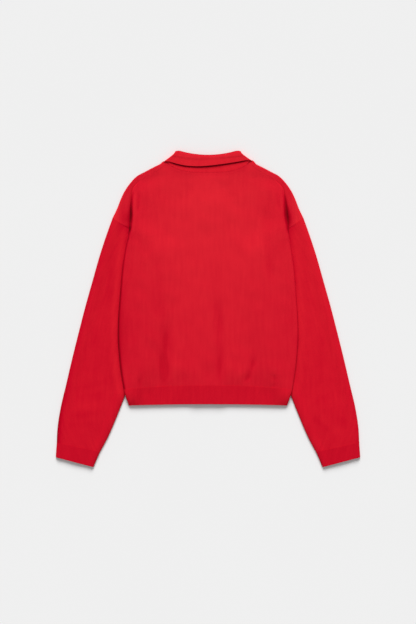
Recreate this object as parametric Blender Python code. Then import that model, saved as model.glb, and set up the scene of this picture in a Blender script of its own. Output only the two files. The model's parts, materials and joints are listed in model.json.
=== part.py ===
"""Knitted zip sweater, laid face down on a flat surface, for Blender 4.5.

Metres, +Z up. The back panel faces up, +Y points to the collar, and the origin is on the surface, under
the middle of the garment's bounding box. Each piece that a maker knits and links on is one closed wall of
cloth: the back, two fronts, two sleeves, two cuffs, three lengths of hem rib, the folded collar and two zip
tapes. The zip's box, slider and pull tab are hard pieces, and the pull tab turns on the slider's bridge.

Inside this file sizes are in millimetres, and `mesh_object` turns them into metres. The garment is
symmetric about X = 0, so tables give its right side, where X is positive.
"""

import math
from collections import namedtuple

import bpy
from mathutils import Vector

# Driving sizes, in millimetres.
MM = 0.001
CLOTH = 2.0  # thickness of the knit
RIB = 2.4  # thickness of the hem and cuff rib
SEAM = 0.3  # gap between two pieces where they are linked
AIR = 1.2  # gap between front and back where they lie on each other
NEST = 2 * CLOTH + AIR  # two layers of knit that lie on each other
RIB_AIR = 1.0  # gap between two layers of rib
RIB_NEST = 2 * RIB + RIB_AIR
SLEEVE_CROWN = 0.5  # how much the tucked stretch of a sleeve rises between its edges
SLEEVE_LIFT = NEST + SLEEVE_CROWN + SEAM  # the body's side margin lies this high, on the tucked sleeve
SLEEVE_MARGIN = 2.0  # the fronts stay this high just past the sleeve's edge
FRONT_RAMP = 17.0  # then they come down over this width
BACK_RAMP = 55.0  # and the back over this one
EDGE_SPREAD = 40.0  # the back settles from its edge height to its own over this width

COLLAR_LIFT = 2.7  # the neck of the fronts lies this high, on the front leaf of the collar
COLLAR_PRINT_X = 120.0  # half width of the front leaf's print in the fronts
COLLAR_PRINT_Y = 142.0  # and its depth below the neck
COLLAR_PRINT_FADE = 0.33  # share of its size over which it fades out
ZIP_LIFT = 1.2  # the fronts' middle edges lie this high, on the zip
ZIP_RIDGE_HALF = 14.0  # half width of the ridge over the zip
ZIP_RIDGE_SLOPE = 25.0  # width of each of its slopes
ZIP_RISE = 1.1  # further rise of the back over the zip
BACK_RIDGE_WIDER = 1.25  # how much wider the ridge is in the back
DOME = 2.4  # how much the middle of the back stands above two nested layers
DOME_RISE = 50.0  # the back rises to that within this distance of the hem rib
NECK_BUMP = 1.5  # rise of the back over the zip's slider
NECK_BUMP_Y = 244.0
NECK_BUMP_HALF_X = 80.0
NECK_BUMP_HALF_Y = 75.0

ZIP_EDGE = 5.0  # half the gap between the fronts
HEM_Y = -234.0  # bottom of the hem rib at the middle
HEM_DROP = 3.0  # the hem is this much lower at the sides
HEM_SEAM_Y = -188.5  # top of the hem rib at the middle
HEM_SEAM_DROP = 9.5  # the rib's top is this much lower at the sides
HEM_BOTTOM_ROW = HEM_SEAM_Y - HEM_SEAM_DROP  # the lowest row of the body, at its sides
HEM_CURVE_REACH = 60.0  # rows of the body turn level within this distance of the rib
BACK_NECK_Y = 333.8  # middle of the back neck
NECK_POWER = 3.4  # the back neck is flat in the middle and turns up near the shoulders
FRONT_NECK_POWER = 1.7

# The visible side of the body below the underarm.
SideRow = namedtuple("SideRow", "y half_width")
SIDE = [
    SideRow(-237.0, 192.3),
    SideRow(-212.0, 202.6),
    SideRow(-198.0, 206.0),
    SideRow(-168.0, 211.4),
    SideRow(-119.0, 217.5),
    SideRow(-65.0, 221.0),
    SideRow(-16.0, 219.7),
    SideRow(31.0, 216.0),
    SideRow(99.0, 210.0),
    SideRow(151.0, 202.0),
    SideRow(197.0, 195.5),
]

# Rows of the body above the underarm, from the armhole seam to the neck. outer is the outline, crease is the
# fold where the body is tucked over the sleeve, and step is how far the fold stands above the dropped
# shoulder.
UpperRow = namedtuple("UpperRow", "outer_x outer_y crease_x crease_y step back_y front_y")
UPPER = [
    UpperRow(233.9, 222.6, 195.5, 195.1, 6.0, 197.0, 119.5),
    UpperRow(222.3, 247.3, 194.0, 221.0, 5.2, 219.0, 138.0),
    UpperRow(214.8, 266.8, 191.5, 245.0, 4.3, 240.0, 154.0),
    UpperRow(205.4, 286.7, 188.0, 269.0, 3.0, 259.0, 179.0),
    UpperRow(192.3, 306.1, 183.0, 294.0, 1.2, 277.0, 202.0),
    UpperRow(172.8, 325.9, 160.0, 317.2, 0.0, 293.0, 221.0),
    UpperRow(154.5, 335.7, 143.5, 327.3, 0.0, 306.0, 237.0),
    UpperRow(127.3, 349.6, 118.0, 341.5, 0.0, 320.0, 250.0),
    UpperRow(103.0, 360.5, 95.5, 353.4, 0.0, BACK_NECK_Y, 261.0),
]

# Soft troughs in the back, from one end to the other.
Fold = namedtuple("Fold", "start_x start_y end_x end_y width depth")
FOLDS = [
    Fold(-104.0, -40.0, -106.0, -176.0, 34.0, 1.1),
    Fold(29.0, 20.0, 33.0, -178.0, 38.0, 0.9),
    Fold(112.0, -116.0, 90.0, -177.0, 30.0, 0.9),
    Fold(-124.0, 143.0, -118.0, -40.0, 44.0, 0.6),
    Fold(150.0, 262.0, 158.0, 60.0, 36.0, 0.7),
    Fold(26.0, 150.0, 22.0, 20.0, 46.0, 0.4),
]

# The sleeve from the armhole seam to the cuff's hem: its outer edge, and its inner edge, which is under the
# body down to y = -211. crown is how much its upper layer rises between the edges.
SleeveRow = namedtuple("SleeveRow", "outer_x outer_y inner_x inner_y crown")
SLEEVE = [
    SleeveRow(233.9, 222.6, 112.0, 132.0, 0.0),
    SleeveRow(259.8, 149.0, 118.0, 59.0, SLEEVE_CROWN),
    SleeveRow(282.5, 70.6, 128.0, -1.0, SLEEVE_CROWN),
    SleeveRow(301.3, 3.5, 143.0, -61.0, SLEEVE_CROWN),
    SleeveRow(318.8, -64.5, 163.0, -119.0, SLEEVE_CROWN),
    SleeveRow(335.1, -130.5, 184.5, -171.0, SLEEVE_CROWN),
    SleeveRow(348.6, -188.5, 203.0, -213.0, 0.8),
    SleeveRow(361.4, -242.7, 223.0, -262.8, 2.2),
    SleeveRow(369.5, -297.0, 247.2, -318.6, 2.0),
    SleeveRow(371.0, -329.0, 265.0, -351.5, 1.0),
    SleeveRow(373.6, -364.2, 281.0, -388.6, 0.6),
]
CUFF_ROW = 9  # the row of SLEEVE where the cuff begins

SLIT_TIP_Y = 119.5  # inner end of the armhole in a front, on the line of the sleeve's seam
SLIT_LIP_Y = 183.0  # where the lip of the front that lies on the sleeve meets the side
SEAM_SAMPLES = 24  # points read along the armhole seam
EDGE_SAMPLES = 6  # and along the inner edge, between two rows of SLEEVE


def smooth(t):
    """0 before t = 0, 1 after t = 1, with a soft start and end."""
    t = min(max(t, 0.0), 1.0)
    return t * t * (3 - 2 * t)


def lerp(a, b, t):
    return a + (b - a) * t


def through(keys, values):
    """A smooth function through the values, straight beyond the ends."""
    count = len(keys)
    steps = [(values[i + 1] - values[i]) / (keys[i + 1] - keys[i]) for i in range(count - 1)]
    slopes = [steps[0], *[(a + b) / 2 for a, b in zip(steps, steps[1:])], steps[-1]]

    def value(key):
        if key <= keys[0]:
            return values[0] + slopes[0] * (key - keys[0])
        if key >= keys[-1]:
            return values[-1] + slopes[-1] * (key - keys[-1])
        i = max(j for j in range(count - 1) if keys[j] <= key)
        span = keys[i + 1] - keys[i]
        t = (key - keys[i]) / span
        rise = values[i + 1] - values[i]
        start, end = slopes[i] * span, slopes[i + 1] * span
        return values[i] + start * t + (3 * rise - 2 * start - end) * t**2 + (start + end - 2 * rise) * t**3

    return value


def column(table, name):
    return [getattr(row, name) for row in table]


side_x = through(column(SIDE, "y"), column(SIDE, "half_width"))
SLEEVE_KEYS = list(range(len(SLEEVE)))
sleeve_at = {name: through(SLEEVE_KEYS, column(SLEEVE, name)) for name in SleeveRow._fields}


def root_y(x):
    """The armhole seam's straight line in plan."""
    root = SLEEVE[0]
    return lerp(root.inner_y, root.outer_y, (x - root.inner_x) / (root.outer_x - root.inner_x))


def sleeve_boundary():
    """Points along the edge of the sleeve that lies under the body: the armhole seam, then the inner edge."""
    first = SLEEVE[0]
    shares = [i / SEAM_SAMPLES for i in range(SEAM_SAMPLES)]
    seam = [(lerp(first.outer_x, first.inner_x, s), lerp(first.outer_y, first.inner_y, s)) for s in shares]
    spread = len(SLEEVE) * EDGE_SAMPLES
    keys = [i * (len(SLEEVE) - 1) / spread for i in range(spread + 1)]
    return seam + [(sleeve_at["inner_x"](k), sleeve_at["inner_y"](k)) for k in keys]


BOUNDARY = sleeve_boundary()
inner_x = through([-row.inner_y for row in SLEEVE], column(SLEEVE, "inner_x"))


def beyond_sleeve(x, y):
    """How far a plan point is from the sleeve that is tucked under the body, 0 over the sleeve."""
    if x >= SLEEVE[0].inner_x and y <= root_y(x) and x >= inner_x(-min(y, SLEEVE[0].inner_y)):
        return 0.0
    return min(math.dist((x, y), point) for point in BOUNDARY)


def zip_ridge(x):
    """1 over the zip, falling to 0 beside it."""
    return 1 - smooth((x - ZIP_RIDGE_HALF) / ZIP_RIDGE_SLOPE)


def collar_zone(x, y):
    """1 where the collar's front leaf lies under the fronts, falling to 0 around it."""
    top = UPPER[-1].outer_y
    radius = math.hypot(x / COLLAR_PRINT_X, min(y - top, 0) / COLLAR_PRINT_Y)
    return 1 - smooth((radius - 1) / COLLAR_PRINT_FADE)


def front_floor(x, y):
    """Height of a front's lower face where no sleeve is under it."""
    return lerp(ZIP_LIFT * zip_ridge(x), COLLAR_LIFT, collar_zone(x, y))


def front_low(x, y):
    """Height of a front's lower face below the armhole, where its side lies on the sleeve."""
    on_sleeve = 1 - smooth((beyond_sleeve(x, y) - SLEEVE_MARGIN) / FRONT_RAMP)
    return lerp(front_floor(x, y), SLEEVE_LIFT, on_sleeve)


def fold_depth(x, y):
    """How far the folds lower the back at a point. A fold is deepest at its middle."""
    total = 0.0
    for fold in FOLDS:
        start, end = Vector((fold.start_x, fold.start_y)), Vector((fold.end_x, fold.end_y))
        point = Vector((x, y))
        share = (point - start).dot(end - start) / (end - start).length_squared
        share = min(max(share, 0.0), 1.0)
        away = (point - start.lerp(end, share)).length
        total += fold.depth * (0.5 + 0.5 * math.sin(math.pi * share)) * (1 - smooth(away / fold.width))
    return total


def back_low(x, y):
    """Height of the back's lower face away from its edges."""
    above_rib = smooth((y - HEM_BOTTOM_ROW) / DOME_RISE)
    ridge = zip_ridge(x / BACK_RIDGE_WIDER)
    dome = 1 - (1 - above_rib) * (1 - ridge)
    bump = 1 - smooth(math.hypot(x / NECK_BUMP_HALF_X, (y - NECK_BUMP_Y) / NECK_BUMP_HALF_Y))
    on_sleeve = 1 - smooth(beyond_sleeve(x, y) / BACK_RAMP)
    flat = CLOTH + AIR + DOME * dome + ZIP_RISE * ridge + NECK_BUMP * bump - fold_depth(x, y)
    return lerp(flat, SLEEVE_LIFT + CLOTH + AIR, on_sleeve)


def tilted(out_x, out_y, angle):
    """A unit normal that leans from straight up towards the plan direction (out_x, out_y) by that angle."""
    lean = math.sin(math.radians(angle))
    return Vector((out_x * lean, out_y * lean, math.cos(math.radians(angle))))


ARC_TURNS = (90, 60, 30)  # degrees round a fold, from the flat to the linking seam


def edge_arc(edge_x, edge_y, out, middle, nest, cloth, up):
    """A wall's turned edge, from the flat inwards: half of the rounded fold between two layers. It gives
    points on the wall's middle surface with their normals. out is the outline's plan normal, middle the
    height of the linking seam, nest the two layers' height, and up is 1 for the upper layer and -1 for the
    lower."""
    radius = (nest - cloth) / 2
    last = math.degrees(math.asin(SEAM / 2 / radius))
    made = []
    for angle in (*ARC_TURNS, last):
        turn = math.radians(angle)
        inset = cloth / 2 + radius * (1 - math.cos(turn))
        z = middle + up * radius * math.sin(turn)
        place = Vector((edge_x - out[0] * inset, edge_y - out[1] * inset, z))
        normal = tilted(*out, 90 if angle == last else 90 - angle)
        normal.z *= up
        made.append((place, normal))
    return made


def outline_normal(rows, index):
    """The plan normal, pointing out, of the outline through rows of (x, y) that run upwards."""
    before, after = rows[max(index - 1, 0)], rows[min(index + 1, len(rows) - 1)]
    along = Vector((after[0] - before[0], after[1] - before[1])).normalized()
    return (along.y, -along.x)


def upper_normal(index):
    """The outline's normal at a row of UPPER. At the armhole it follows the seam, to match the sleeve."""
    if index == 0:
        first = SLEEVE[0]
        seam = Vector((first.outer_x - first.inner_x, first.outer_y - first.inner_y)).normalized()
        return (seam.x, seam.y)
    return outline_normal([(row.outer_x, row.outer_y) for row in UPPER], index)


def thicken(name, cells, faces, cloth, material):
    """One closed wall of cloth. cells maps a key to a point on the wall's middle surface and its normal, and
    faces are quads of keys that run anticlockwise seen from the outside."""
    keys = sorted({key for face in faces for key in face})
    outside = {key: i for i, key in enumerate(keys)}
    inside = {key: i + len(keys) for i, key in enumerate(keys)}
    points = [cells[key][0] + cells[key][1] * cloth / 2 for key in keys]
    points += [cells[key][0] - cells[key][1] * cloth / 2 for key in keys]
    quads = [[outside[key] for key in face] for face in faces]
    quads += [[inside[key] for key in turned(face)] for face in faces]
    edges = {(face[i - 1], face[i]) for face in faces for i in range(len(face))}
    rim = [(a, b) for a, b in sorted(edges) if (b, a) not in edges]
    quads += [[outside[b], outside[a], inside[a], inside[b]] for a, b in rim]
    return mesh_object(name, points, quads, material)


def turned(face):
    """The face seen from its other side, still split along the same diagonal."""
    return [face[0], *face[:0:-1]]


SHARP_ANGLE = 50  # degrees between two faces that meet at an edge


def mesh_object(name, points, faces, material):
    mesh = bpy.data.meshes.new(name)
    mesh.from_pydata([[size * MM for size in point] for point in points], [], faces)
    mesh.materials.append(material)
    mesh.shade_smooth()
    mesh.set_sharp_from_angle(angle=math.radians(SHARP_ANGLE))
    made = bpy.data.objects.new(name, mesh)
    bpy.context.scene.collection.objects.link(made)
    return made


def flipped(cells):
    """The same cells on the garment's other side."""
    mirror = Vector((-1, 1, 1))
    return {key: (place * mirror, normal * mirror) for key, (place, normal) in cells.items()}


def grid_faces(rows, columns, clockwise=False):
    """Quads between neighbouring keys (row, column)."""
    faces = [
        [(row, left), (row, right), (above, right), (above, left)]
        for row, above in zip(rows, rows[1:])
        for left, right in zip(columns, columns[1:])
    ]
    return [turned(face) for face in faces] if clockwise else faces


UP = Vector((0, 0, 1))
# Rows of the body from the hem rib to the underarm, by the height of their side.
BODY_Y = [-177.0, -153.0, -119.0, -76.0, -31.0, 14.0, 59.0, 104.0, 147.0, SLIT_LIP_Y]
TORSO_SHARES = [0.0, 0.13, 0.26, 0.38, 0.50, 0.62, 0.74, 0.85, 0.94]  # columns, as shares of the half width


def hem_line(x, half_width, middle_y, drop):
    """The hem's curve, which is lower at the sides."""
    return middle_y - drop * (x / half_width) ** 2


def row_drop(edge_y):
    """How much lower than its middle a row of the body is at its sides."""
    return HEM_SEAM_DROP * (1 - smooth((edge_y - HEM_BOTTOM_ROW) / HEM_CURVE_REACH))


def back_row_low(x, y, edge_x, edge_low):
    return lerp(edge_low, back_low(x, y), smooth((edge_x - x) / EDGE_SPREAD))


def back_lower_row(edge_y):
    """Right half of a row of the back below the underarm, from the middle to the side seam."""
    edge_x = side_x(edge_y)
    drop = row_drop(edge_y)
    floor = front_low(edge_x, edge_y)
    edge_low = floor + CLOTH + AIR
    flat_x = edge_x - NEST / 2
    cells = []
    for share in TORSO_SHARES:
        x = flat_x * share
        y = hem_line(x, edge_x, edge_y + drop, drop)
        cells.append((Vector((x, y, back_row_low(x, y, flat_x, edge_low) + CLOTH / 2)), UP))
    return cells + edge_arc(edge_x, edge_y, (1, 0), floor + NEST / 2, NEST, CLOTH, 1)


# The wall of the tuck, from the torso down to the dropped shoulder: how far it is past the crease, its share
# of the way down, and how far its face leans, in degrees.
TuckStop = namedtuple("TuckStop", "past share_down lean")
TUCK = [TuckStop(-2.6, 0.0, 10), TuckStop(-0.9, 0.25, 45), TuckStop(0.1, 0.65, 72), TuckStop(1.2, 1.0, 30)]
FULL_STEP = 2.5  # a tuck at least this high has its wall's full lean
SHOULDER_SHARES = (0.36, 0.7)  # columns of the dropped shoulder, from the tuck to its fold


def back_upper_row(index):
    """Right half of a row of the back from the underarm up: torso, wall of the tuck, and dropped shoulder."""
    row = UPPER[index]
    out = upper_normal(index)
    cap_low = CLOTH + AIR
    fold = min(1.0, row.step / FULL_STEP)
    edge_low = cap_low + row.step + COLLAR_LIFT * collar_zone(row.crease_x, row.crease_y)
    cells = []
    for share in TORSO_SHARES:
        x = row.crease_x * share
        y = lerp(row.back_y, row.crease_y, share**NECK_POWER)
        cells.append((Vector((x, y, back_row_low(x, y, row.crease_x, edge_low) + CLOTH / 2)), UP))
    # At the underarm the foot of the tuck stays above the sleeve.
    foot = SLEEVE_LIFT - cap_low if index == 0 else 0.0
    for stop in TUCK:
        z = edge_low + CLOTH / 2 - max(row.step - foot, 0.0) * stop.share_down
        place = Vector((row.crease_x + stop.past, row.crease_y, z))
        if row.step == 0:
            place.z = cap_low + COLLAR_LIFT * collar_zone(place.x, place.y) + CLOTH / 2
        cells.append((place, tilted(1, 0, stop.lean * fold)))
    middle = NEST / 2 + COLLAR_LIFT * collar_zone(row.outer_x, row.outer_y)
    arc = edge_arc(row.outer_x, row.outer_y, out, middle, NEST, CLOTH, 1)
    start, end = cells[-1][0], arc[0][0]
    for share in SHOULDER_SHARES:
        place = start.lerp(end, share)
        place.z = cap_low + COLLAR_LIFT * collar_zone(place.x, place.y) + CLOTH / 2
        cells.append((place, UP))
    return cells + arc


def both_sides(right):
    """A row's cells keyed by column: positive on the right, negative on the left, 0 in the middle."""
    cells = dict(enumerate(right))
    left = flipped({-i: cell for i, cell in cells.items() if i})
    return {**cells, **left}


def shifted_along(cells, distance):
    """The row moved along Y, so that a seam's two sides keep their gap."""
    return [(place + Vector((0, distance, 0)), normal) for place, normal in cells]


def make_back(knit):
    rows = [shifted_along(back_lower_row(HEM_BOTTOM_ROW), SEAM / 2)]
    rows += [back_lower_row(y) for y in BODY_Y]
    lower_rows = len(rows)
    rows += [shifted_along(back_upper_row(0), SEAM / 2)]
    rows += [back_upper_row(i) for i in range(1, len(UPPER) - 1)]
    rows += [shifted_along(back_upper_row(len(UPPER) - 1), -SEAM / 2)]
    cells = {(r, c): cell for r, row in enumerate(rows) for c, cell in both_sides(row).items()}
    side, outer = len(rows[0]) - 1, len(rows[-1]) - 1
    faces = grid_faces(range(lower_rows + 1), range(-side, side + 1))
    faces += grid_faces(range(lower_rows, len(rows)), range(-outer, outer + 1))
    return thicken("back", cells, faces, CLOTH, knit)


FRONT_INNER = 4  # spans from the zip to the foot of the slope up to the sleeve
FRONT_OUTER = 5  # spans from there to the flat's end
SLOPE_WIDTH = 16.0
SLOPE_AT = 0.15  # the slope follows the sleeve's edge at this share of the row's rise
SLOPE_CLEAR = 2.0  # its top is this far inside the sleeve's edge
SLOPE_END = 6.0  # and at least this far inside the flat's end
FOOT_SETTLE = 4  # rows above the armhole over which the foot moves to the middle


def front_columns(flat_x, foot_x, top_x):
    """Columns of a front, from the zip out to the end of its flat part."""
    inner = [lerp(ZIP_EDGE, foot_x, i / FRONT_INNER) for i in range(FRONT_INNER + 1)]
    return inner + [lerp(top_x, flat_x, i / (FRONT_OUTER - 1)) for i in range(FRONT_OUTER - 1)]


def slope_columns(edge_y, inner_y, flat_x):
    """The foot and the top of the slope where a front comes down from the sleeve, in a row from inner_y at
    the zip to edge_y at the side."""
    top_x = min(inner_x(-lerp(inner_y, edge_y, SLOPE_AT)) - SLOPE_CLEAR, flat_x - SLOPE_END)
    return top_x - SLOPE_WIDTH, top_x


def front_row_inner_y(edge_y):
    """Rows of a front are level at the hem, and turn to the line of the armhole at its lip."""
    share_up = max(0.0, (edge_y - HEM_BOTTOM_ROW) / (SLIT_LIP_Y - HEM_BOTTOM_ROW))
    return edge_y - (SLIT_LIP_Y - SLIT_TIP_Y) * share_up


def front_lower_row(edge_y):
    """A row of the right front below the armhole."""
    edge_x = side_x(edge_y)
    flat_x = edge_x - NEST / 2
    inner_y = front_row_inner_y(edge_y)
    foot_x, top_x = slope_columns(edge_y, inner_y, flat_x)
    drop = row_drop(edge_y)
    cells = []
    for x in front_columns(flat_x, foot_x, top_x):
        y = lerp(inner_y, edge_y, max(0.0, (x - foot_x) / (flat_x - foot_x)))
        y += hem_line(x, edge_x, drop, drop)
        cells.append((Vector((x, y, front_low(x, y) + CLOTH / 2)), -UP))
    middle = front_low(edge_x, edge_y) + NEST / 2
    return cells + edge_arc(edge_x, edge_y, (1, 0), middle, NEST, CLOTH, -1)


def front_upper_row(index):
    """A row of the right front from the armhole seam up to the neck."""
    row = UPPER[index]
    out = upper_normal(index)
    middle = NEST / 2 + COLLAR_LIFT * collar_zone(row.outer_x, row.outer_y)
    arc = edge_arc(row.outer_x, row.outer_y, out, middle, NEST, CLOTH, -1)
    flat = arc[0][0]
    root_foot, _ = slope_columns(SLIT_LIP_Y, SLIT_TIP_Y, side_x(SLIT_LIP_Y))
    foot_x = lerp(root_foot, flat.x * 0.5, smooth(index / FOOT_SETTLE))
    share_up = index / (len(UPPER) - 1)
    cells = []
    for x in front_columns(flat.x, foot_x, lerp(foot_x, flat.x, 1 / FRONT_OUTER)):
        kinked = max(0.0, (x - foot_x) / (flat.x - foot_x))
        curved = ((x - ZIP_EDGE) / (flat.x - ZIP_EDGE)) ** FRONT_NECK_POWER
        y = lerp(row.front_y, flat.y, lerp(kinked, curved, share_up))
        cells.append((Vector((x, y, front_floor(x, y) + CLOTH / 2)), -UP))
    return cells + arc


def make_front(side, knit):
    """A front is slit in from its side along the armhole seam: the part above joins the sleeve's lower layer,
    and the lip below lies on the sleeve."""
    lower = [front_lower_row(y) for y in (HEM_BOTTOM_ROW, *BODY_Y)]
    lower[0] = shifted_along(lower[0], SEAM / 2)
    upper = [front_upper_row(i) for i in range(len(UPPER))]
    shared = FRONT_INNER + 1
    upper[0] = lower[-1][:shared] + shifted_along(upper[0][shared:], SEAM / 2)
    upper[-1] = shifted_along(upper[-1], -SEAM / 2)
    cells = {}
    for r, row in enumerate(lower + upper):
        cells.update({(r, c): cell for c, cell in enumerate(row)})
    first = len(lower)
    faces = grid_faces(range(first), range(len(lower[0])), clockwise=True)
    upper_faces = grid_faces(range(first, first + len(upper)), range(len(upper[0])), clockwise=True)
    joined = {(first, c): (first - 1, c) for c in range(shared)}
    faces += [[joined.get(key, key) for key in face] for face in upper_faces]
    if side == "left":
        cells, faces = flipped(cells), [turned(face) for face in faces]
    return thicken(f"front_{side}", cells, faces, CLOTH, knit)


HEM_ROWS = 4


def hem_row(share, up):
    """Right half of a row of the hem rib, from the middle or the zip outwards. up is 1 for the back's rib and
    -1 for the fronts'."""
    edge_y = lerp(HEM_BOTTOM_ROW, HEM_Y - HEM_DROP, share)
    drop = lerp(HEM_SEAM_DROP, HEM_DROP, share)
    edge_x = side_x(edge_y)
    flat_x = edge_x - RIB_NEST / 2
    floor = front_low(edge_x, edge_y)
    if up < 0:
        columns = front_columns(flat_x, *slope_columns(edge_y, edge_y, flat_x))
    else:
        columns = [flat_x * part for part in TORSO_SHARES]
    cells = []
    for x in columns:
        y = hem_line(x, edge_x, edge_y + drop, drop)
        low = front_low(x, y)
        if up > 0:
            inner = max(back_low(x, y), low + RIB + RIB_AIR)
            low = lerp(floor + RIB_NEST - RIB, inner, smooth((flat_x - x) / EDGE_SPREAD))
        cells.append((Vector((x, y, low + RIB / 2)), UP * up))
    return cells + edge_arc(edge_x, edge_y, (1, 0), floor + RIB_NEST / 2, RIB_NEST, RIB, up)


def hem_rows(up):
    rows = [hem_row(1 - i / (HEM_ROWS - 1), up) for i in range(HEM_ROWS)]
    rows[-1] = shifted_along(rows[-1], -SEAM / 2)
    return rows


def make_back_hem(rib):
    cells = {(r, c): cell for r, row in enumerate(hem_rows(1)) for c, cell in both_sides(row).items()}
    side = max(c for _, c in cells)
    return thicken("hem_rib_back", cells, grid_faces(range(HEM_ROWS), range(-side, side + 1)), RIB, rib)


def make_front_hem(side, rib):
    rows = hem_rows(-1)
    cells = {(r, c): cell for r, row in enumerate(rows) for c, cell in enumerate(row)}
    faces = grid_faces(range(HEM_ROWS), range(len(rows[0])), clockwise=True)
    if side == "left":
        cells, faces = flipped(cells), [turned(face) for face in faces]
    return thicken(f"hem_rib_front_{side}", cells, faces, RIB, rib)


RING_SPANS = 5  # spans across each layer of a sleeve
RING_TURN = 45  # degrees between points round each of its edges


def sleeve_ring(key, cloth, shift):
    """One ring of a sleeve: a flattened loop from its outer to its inner edge. shift moves the ring along
    the sleeve, to keep a seam's gap."""
    place = {name: value(key) for name, value in sleeve_at.items()}
    outer = Vector((place["outer_x"], place["outer_y"], 0))
    inner = Vector((place["inner_x"], place["inner_y"], 0))
    across = (inner - outer).normalized()
    along = Vector((-across.y, across.x, 0))
    outer, inner = outer + along * shift, inner + along * shift
    radius = (NEST - CLOTH) / 2
    middle = cloth / 2 + radius
    start, end = outer + across * middle, inner - across * middle

    def turned_edge(centre, out, turns):
        edge = []
        for turn in turns:
            normal = out * math.cos(math.radians(turn)) + UP * math.sin(math.radians(turn))
            edge.append((centre + normal * radius + UP * middle, normal))
        return edge

    rising = range(-90, 91, RING_TURN)
    shares = [i / RING_SPANS for i in range(1, RING_SPANS)]
    crowns = [place["crown"] * math.sin(math.pi * share) for share in shares]
    top = [(start.lerp(end, s) + UP * (middle + radius + crown), UP) for s, crown in zip(shares, crowns)]
    bottom = [(end.lerp(start, s) + UP * (middle - radius), -UP) for s in shares]
    return turned_edge(start, -across, rising) + top + turned_edge(end, across, rising[::-1]) + bottom


def make_tube(name, keys, cloth, side, material):
    """A sleeve or a cuff through its rings, open at both ends, with half a seam's gap at each end."""
    shifts = [SEAM / 2] + [0.0] * (len(keys) - 2) + [-SEAM / 2]
    rings = [sleeve_ring(key, cloth, shift) for key, shift in zip(keys, shifts)]
    cells = {(r, c): cell for r, ring in enumerate(rings) for c, cell in enumerate(ring)}
    count = len(rings[0])
    faces = [
        [(r, c), (r + 1, c), (r + 1, (c + 1) % count), (r, (c + 1) % count)]
        for r in range(len(rings) - 1)
        for c in range(count)
    ]
    if side == "left":
        cells = flipped(cells)
    else:
        faces = [turned(face) for face in faces]
    return thicken(f"{name}_{side}", cells, faces, cloth, material)


# Rings of a sleeve and of a cuff, as places between the rows of SLEEVE.
SLEEVE_STATIONS = [0, 0.6, 1.3, 2, 3, 4, 5, 6, 7, 8, CUFF_ROW]
CUFF_STATIONS = [CUFF_ROW, CUFF_ROW + 0.35, CUFF_ROW + 1]

# Rings round the neck, from the linking seam up the stand, over the fold and down the leaf. y_end and x_end
# are at the front ends of the collar, z_back and z_front are the middle of the wall at the back and at the
# front, and corner is how far the ring is rounded off at its sides.
CollarRing = namedtuple("CollarRing", "half_width y_back y_side y_end x_end z_back z_front corner")
COLLAR_SEAM = CollarRing(103.0, BACK_NECK_Y + SEAM / 2, 362.0, 261.4, 5.0, 7.2, 3.7, 0.0)
STAND_MIDDLE = CollarRing(87.0, 353.8, 371.0, 275.2, 5.0, 6.9, 3.7, 1.0)
STAND_TOP = CollarRing(77.6, 373.8, 387.5, 289.0, 5.0, 6.9, 3.7, 4.0)
LEAF_TOP = CollarRing(80.0, 373.8, 387.5, 289.0, 5.5, 10.7, 1.1, 4.0)
LEAF_MIDDLE = CollarRing(96.5, 362.0, 371.0, 257.0, 14.7, 10.15, 1.05, 2.0)
LEAF_EDGE = CollarRing(113.0, 350.2, 366.5, 225.0, 24.0, 9.7, 1.0, 7.0)
FOLD_RADIUS = CollarRing(0.0, 2.1, 1.3, 1.3, 0.0, 0.0, 0.0, 0.0)  # the fold's rise above stand and leaf
FOLD_TURNS = (36, 72, 108, 144)  # degrees round the fold, from the stand to the leaf
LEAF_TILT = 3.2  # the leaf's edge is up to this much higher on the right, and lower on the left
TILT_TURN = 2.4  # radians of the sine by which the tilt grows and fades across each half
TILT_START = 5  # the ring from which the tilt grows
STAND_POWERS = (NECK_POWER, 2.7, 2.0)  # of the rings' curves across the back, from the seam to the fold
LEAF_POWERS = (2.0, 2.1, 2.2)  # and from the fold to the leaf's edge
# Columns of the collar, as shares of its half width: from the back to the side, and on to the front.
COLLAR_BACK = [0.0, 0.14, 0.28, 0.42, 0.56, 0.70, 0.83, 0.93, 0.988, 0.998]
COLLAR_FRONT = [0.998, 0.988, 0.96, 0.9, 0.8, 0.7, 0.6, 0.5, 0.375, 0.25, 0.125, 0.0]
CORNER_START = 0.84  # share of the width at which the rounding starts
SQUARENESS = 18  # how square the flattened collar is at its sides


def mixed(a, b, share):
    return CollarRing(*[lerp(p, q, share) for p, q in zip(a, b)])


def collar_rings():
    """The collar's rings, each with the power of its curve across the back."""
    rings = list(zip((COLLAR_SEAM, STAND_MIDDLE, STAND_TOP), STAND_POWERS))
    for turn in FOLD_TURNS:
        share = (1 - math.cos(math.radians(turn))) / 2
        rise = math.sin(math.radians(turn))
        base = mixed(STAND_TOP, LEAF_TOP, share)
        fold = CollarRing(*[size + radius * rise for size, radius in zip(base, FOLD_RADIUS)])
        rings.append((fold, LEAF_POWERS[0]))
    return rings + list(zip((LEAF_TOP, LEAF_MIDDLE, LEAF_EDGE), LEAF_POWERS))


def collar_point(ring, power, share, front, tilt):
    """A point of a ring on the right. share is 0 at the back's middle or the front end, and 1 at the side."""
    middle_z = (ring.z_back + ring.z_front) / 2
    flatness = (1 - share**SQUARENESS) ** (1 / SQUARENESS)
    rounded = ring.corner * (max(0.0, share - CORNER_START) / (1 - CORNER_START)) ** 2
    shift = tilt * math.sin(share * TILT_TURN) - rounded
    if front:
        x = lerp(ring.x_end, ring.half_width, share)
        y = lerp(ring.y_end, ring.y_side, share**FRONT_NECK_POWER)
        return Vector((x, y + shift, lerp(middle_z, ring.z_front, flatness)))
    y = lerp(ring.y_back, ring.y_side, share**power)
    return Vector((ring.half_width * share, y + shift, lerp(middle_z, ring.z_back, flatness)))


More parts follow.
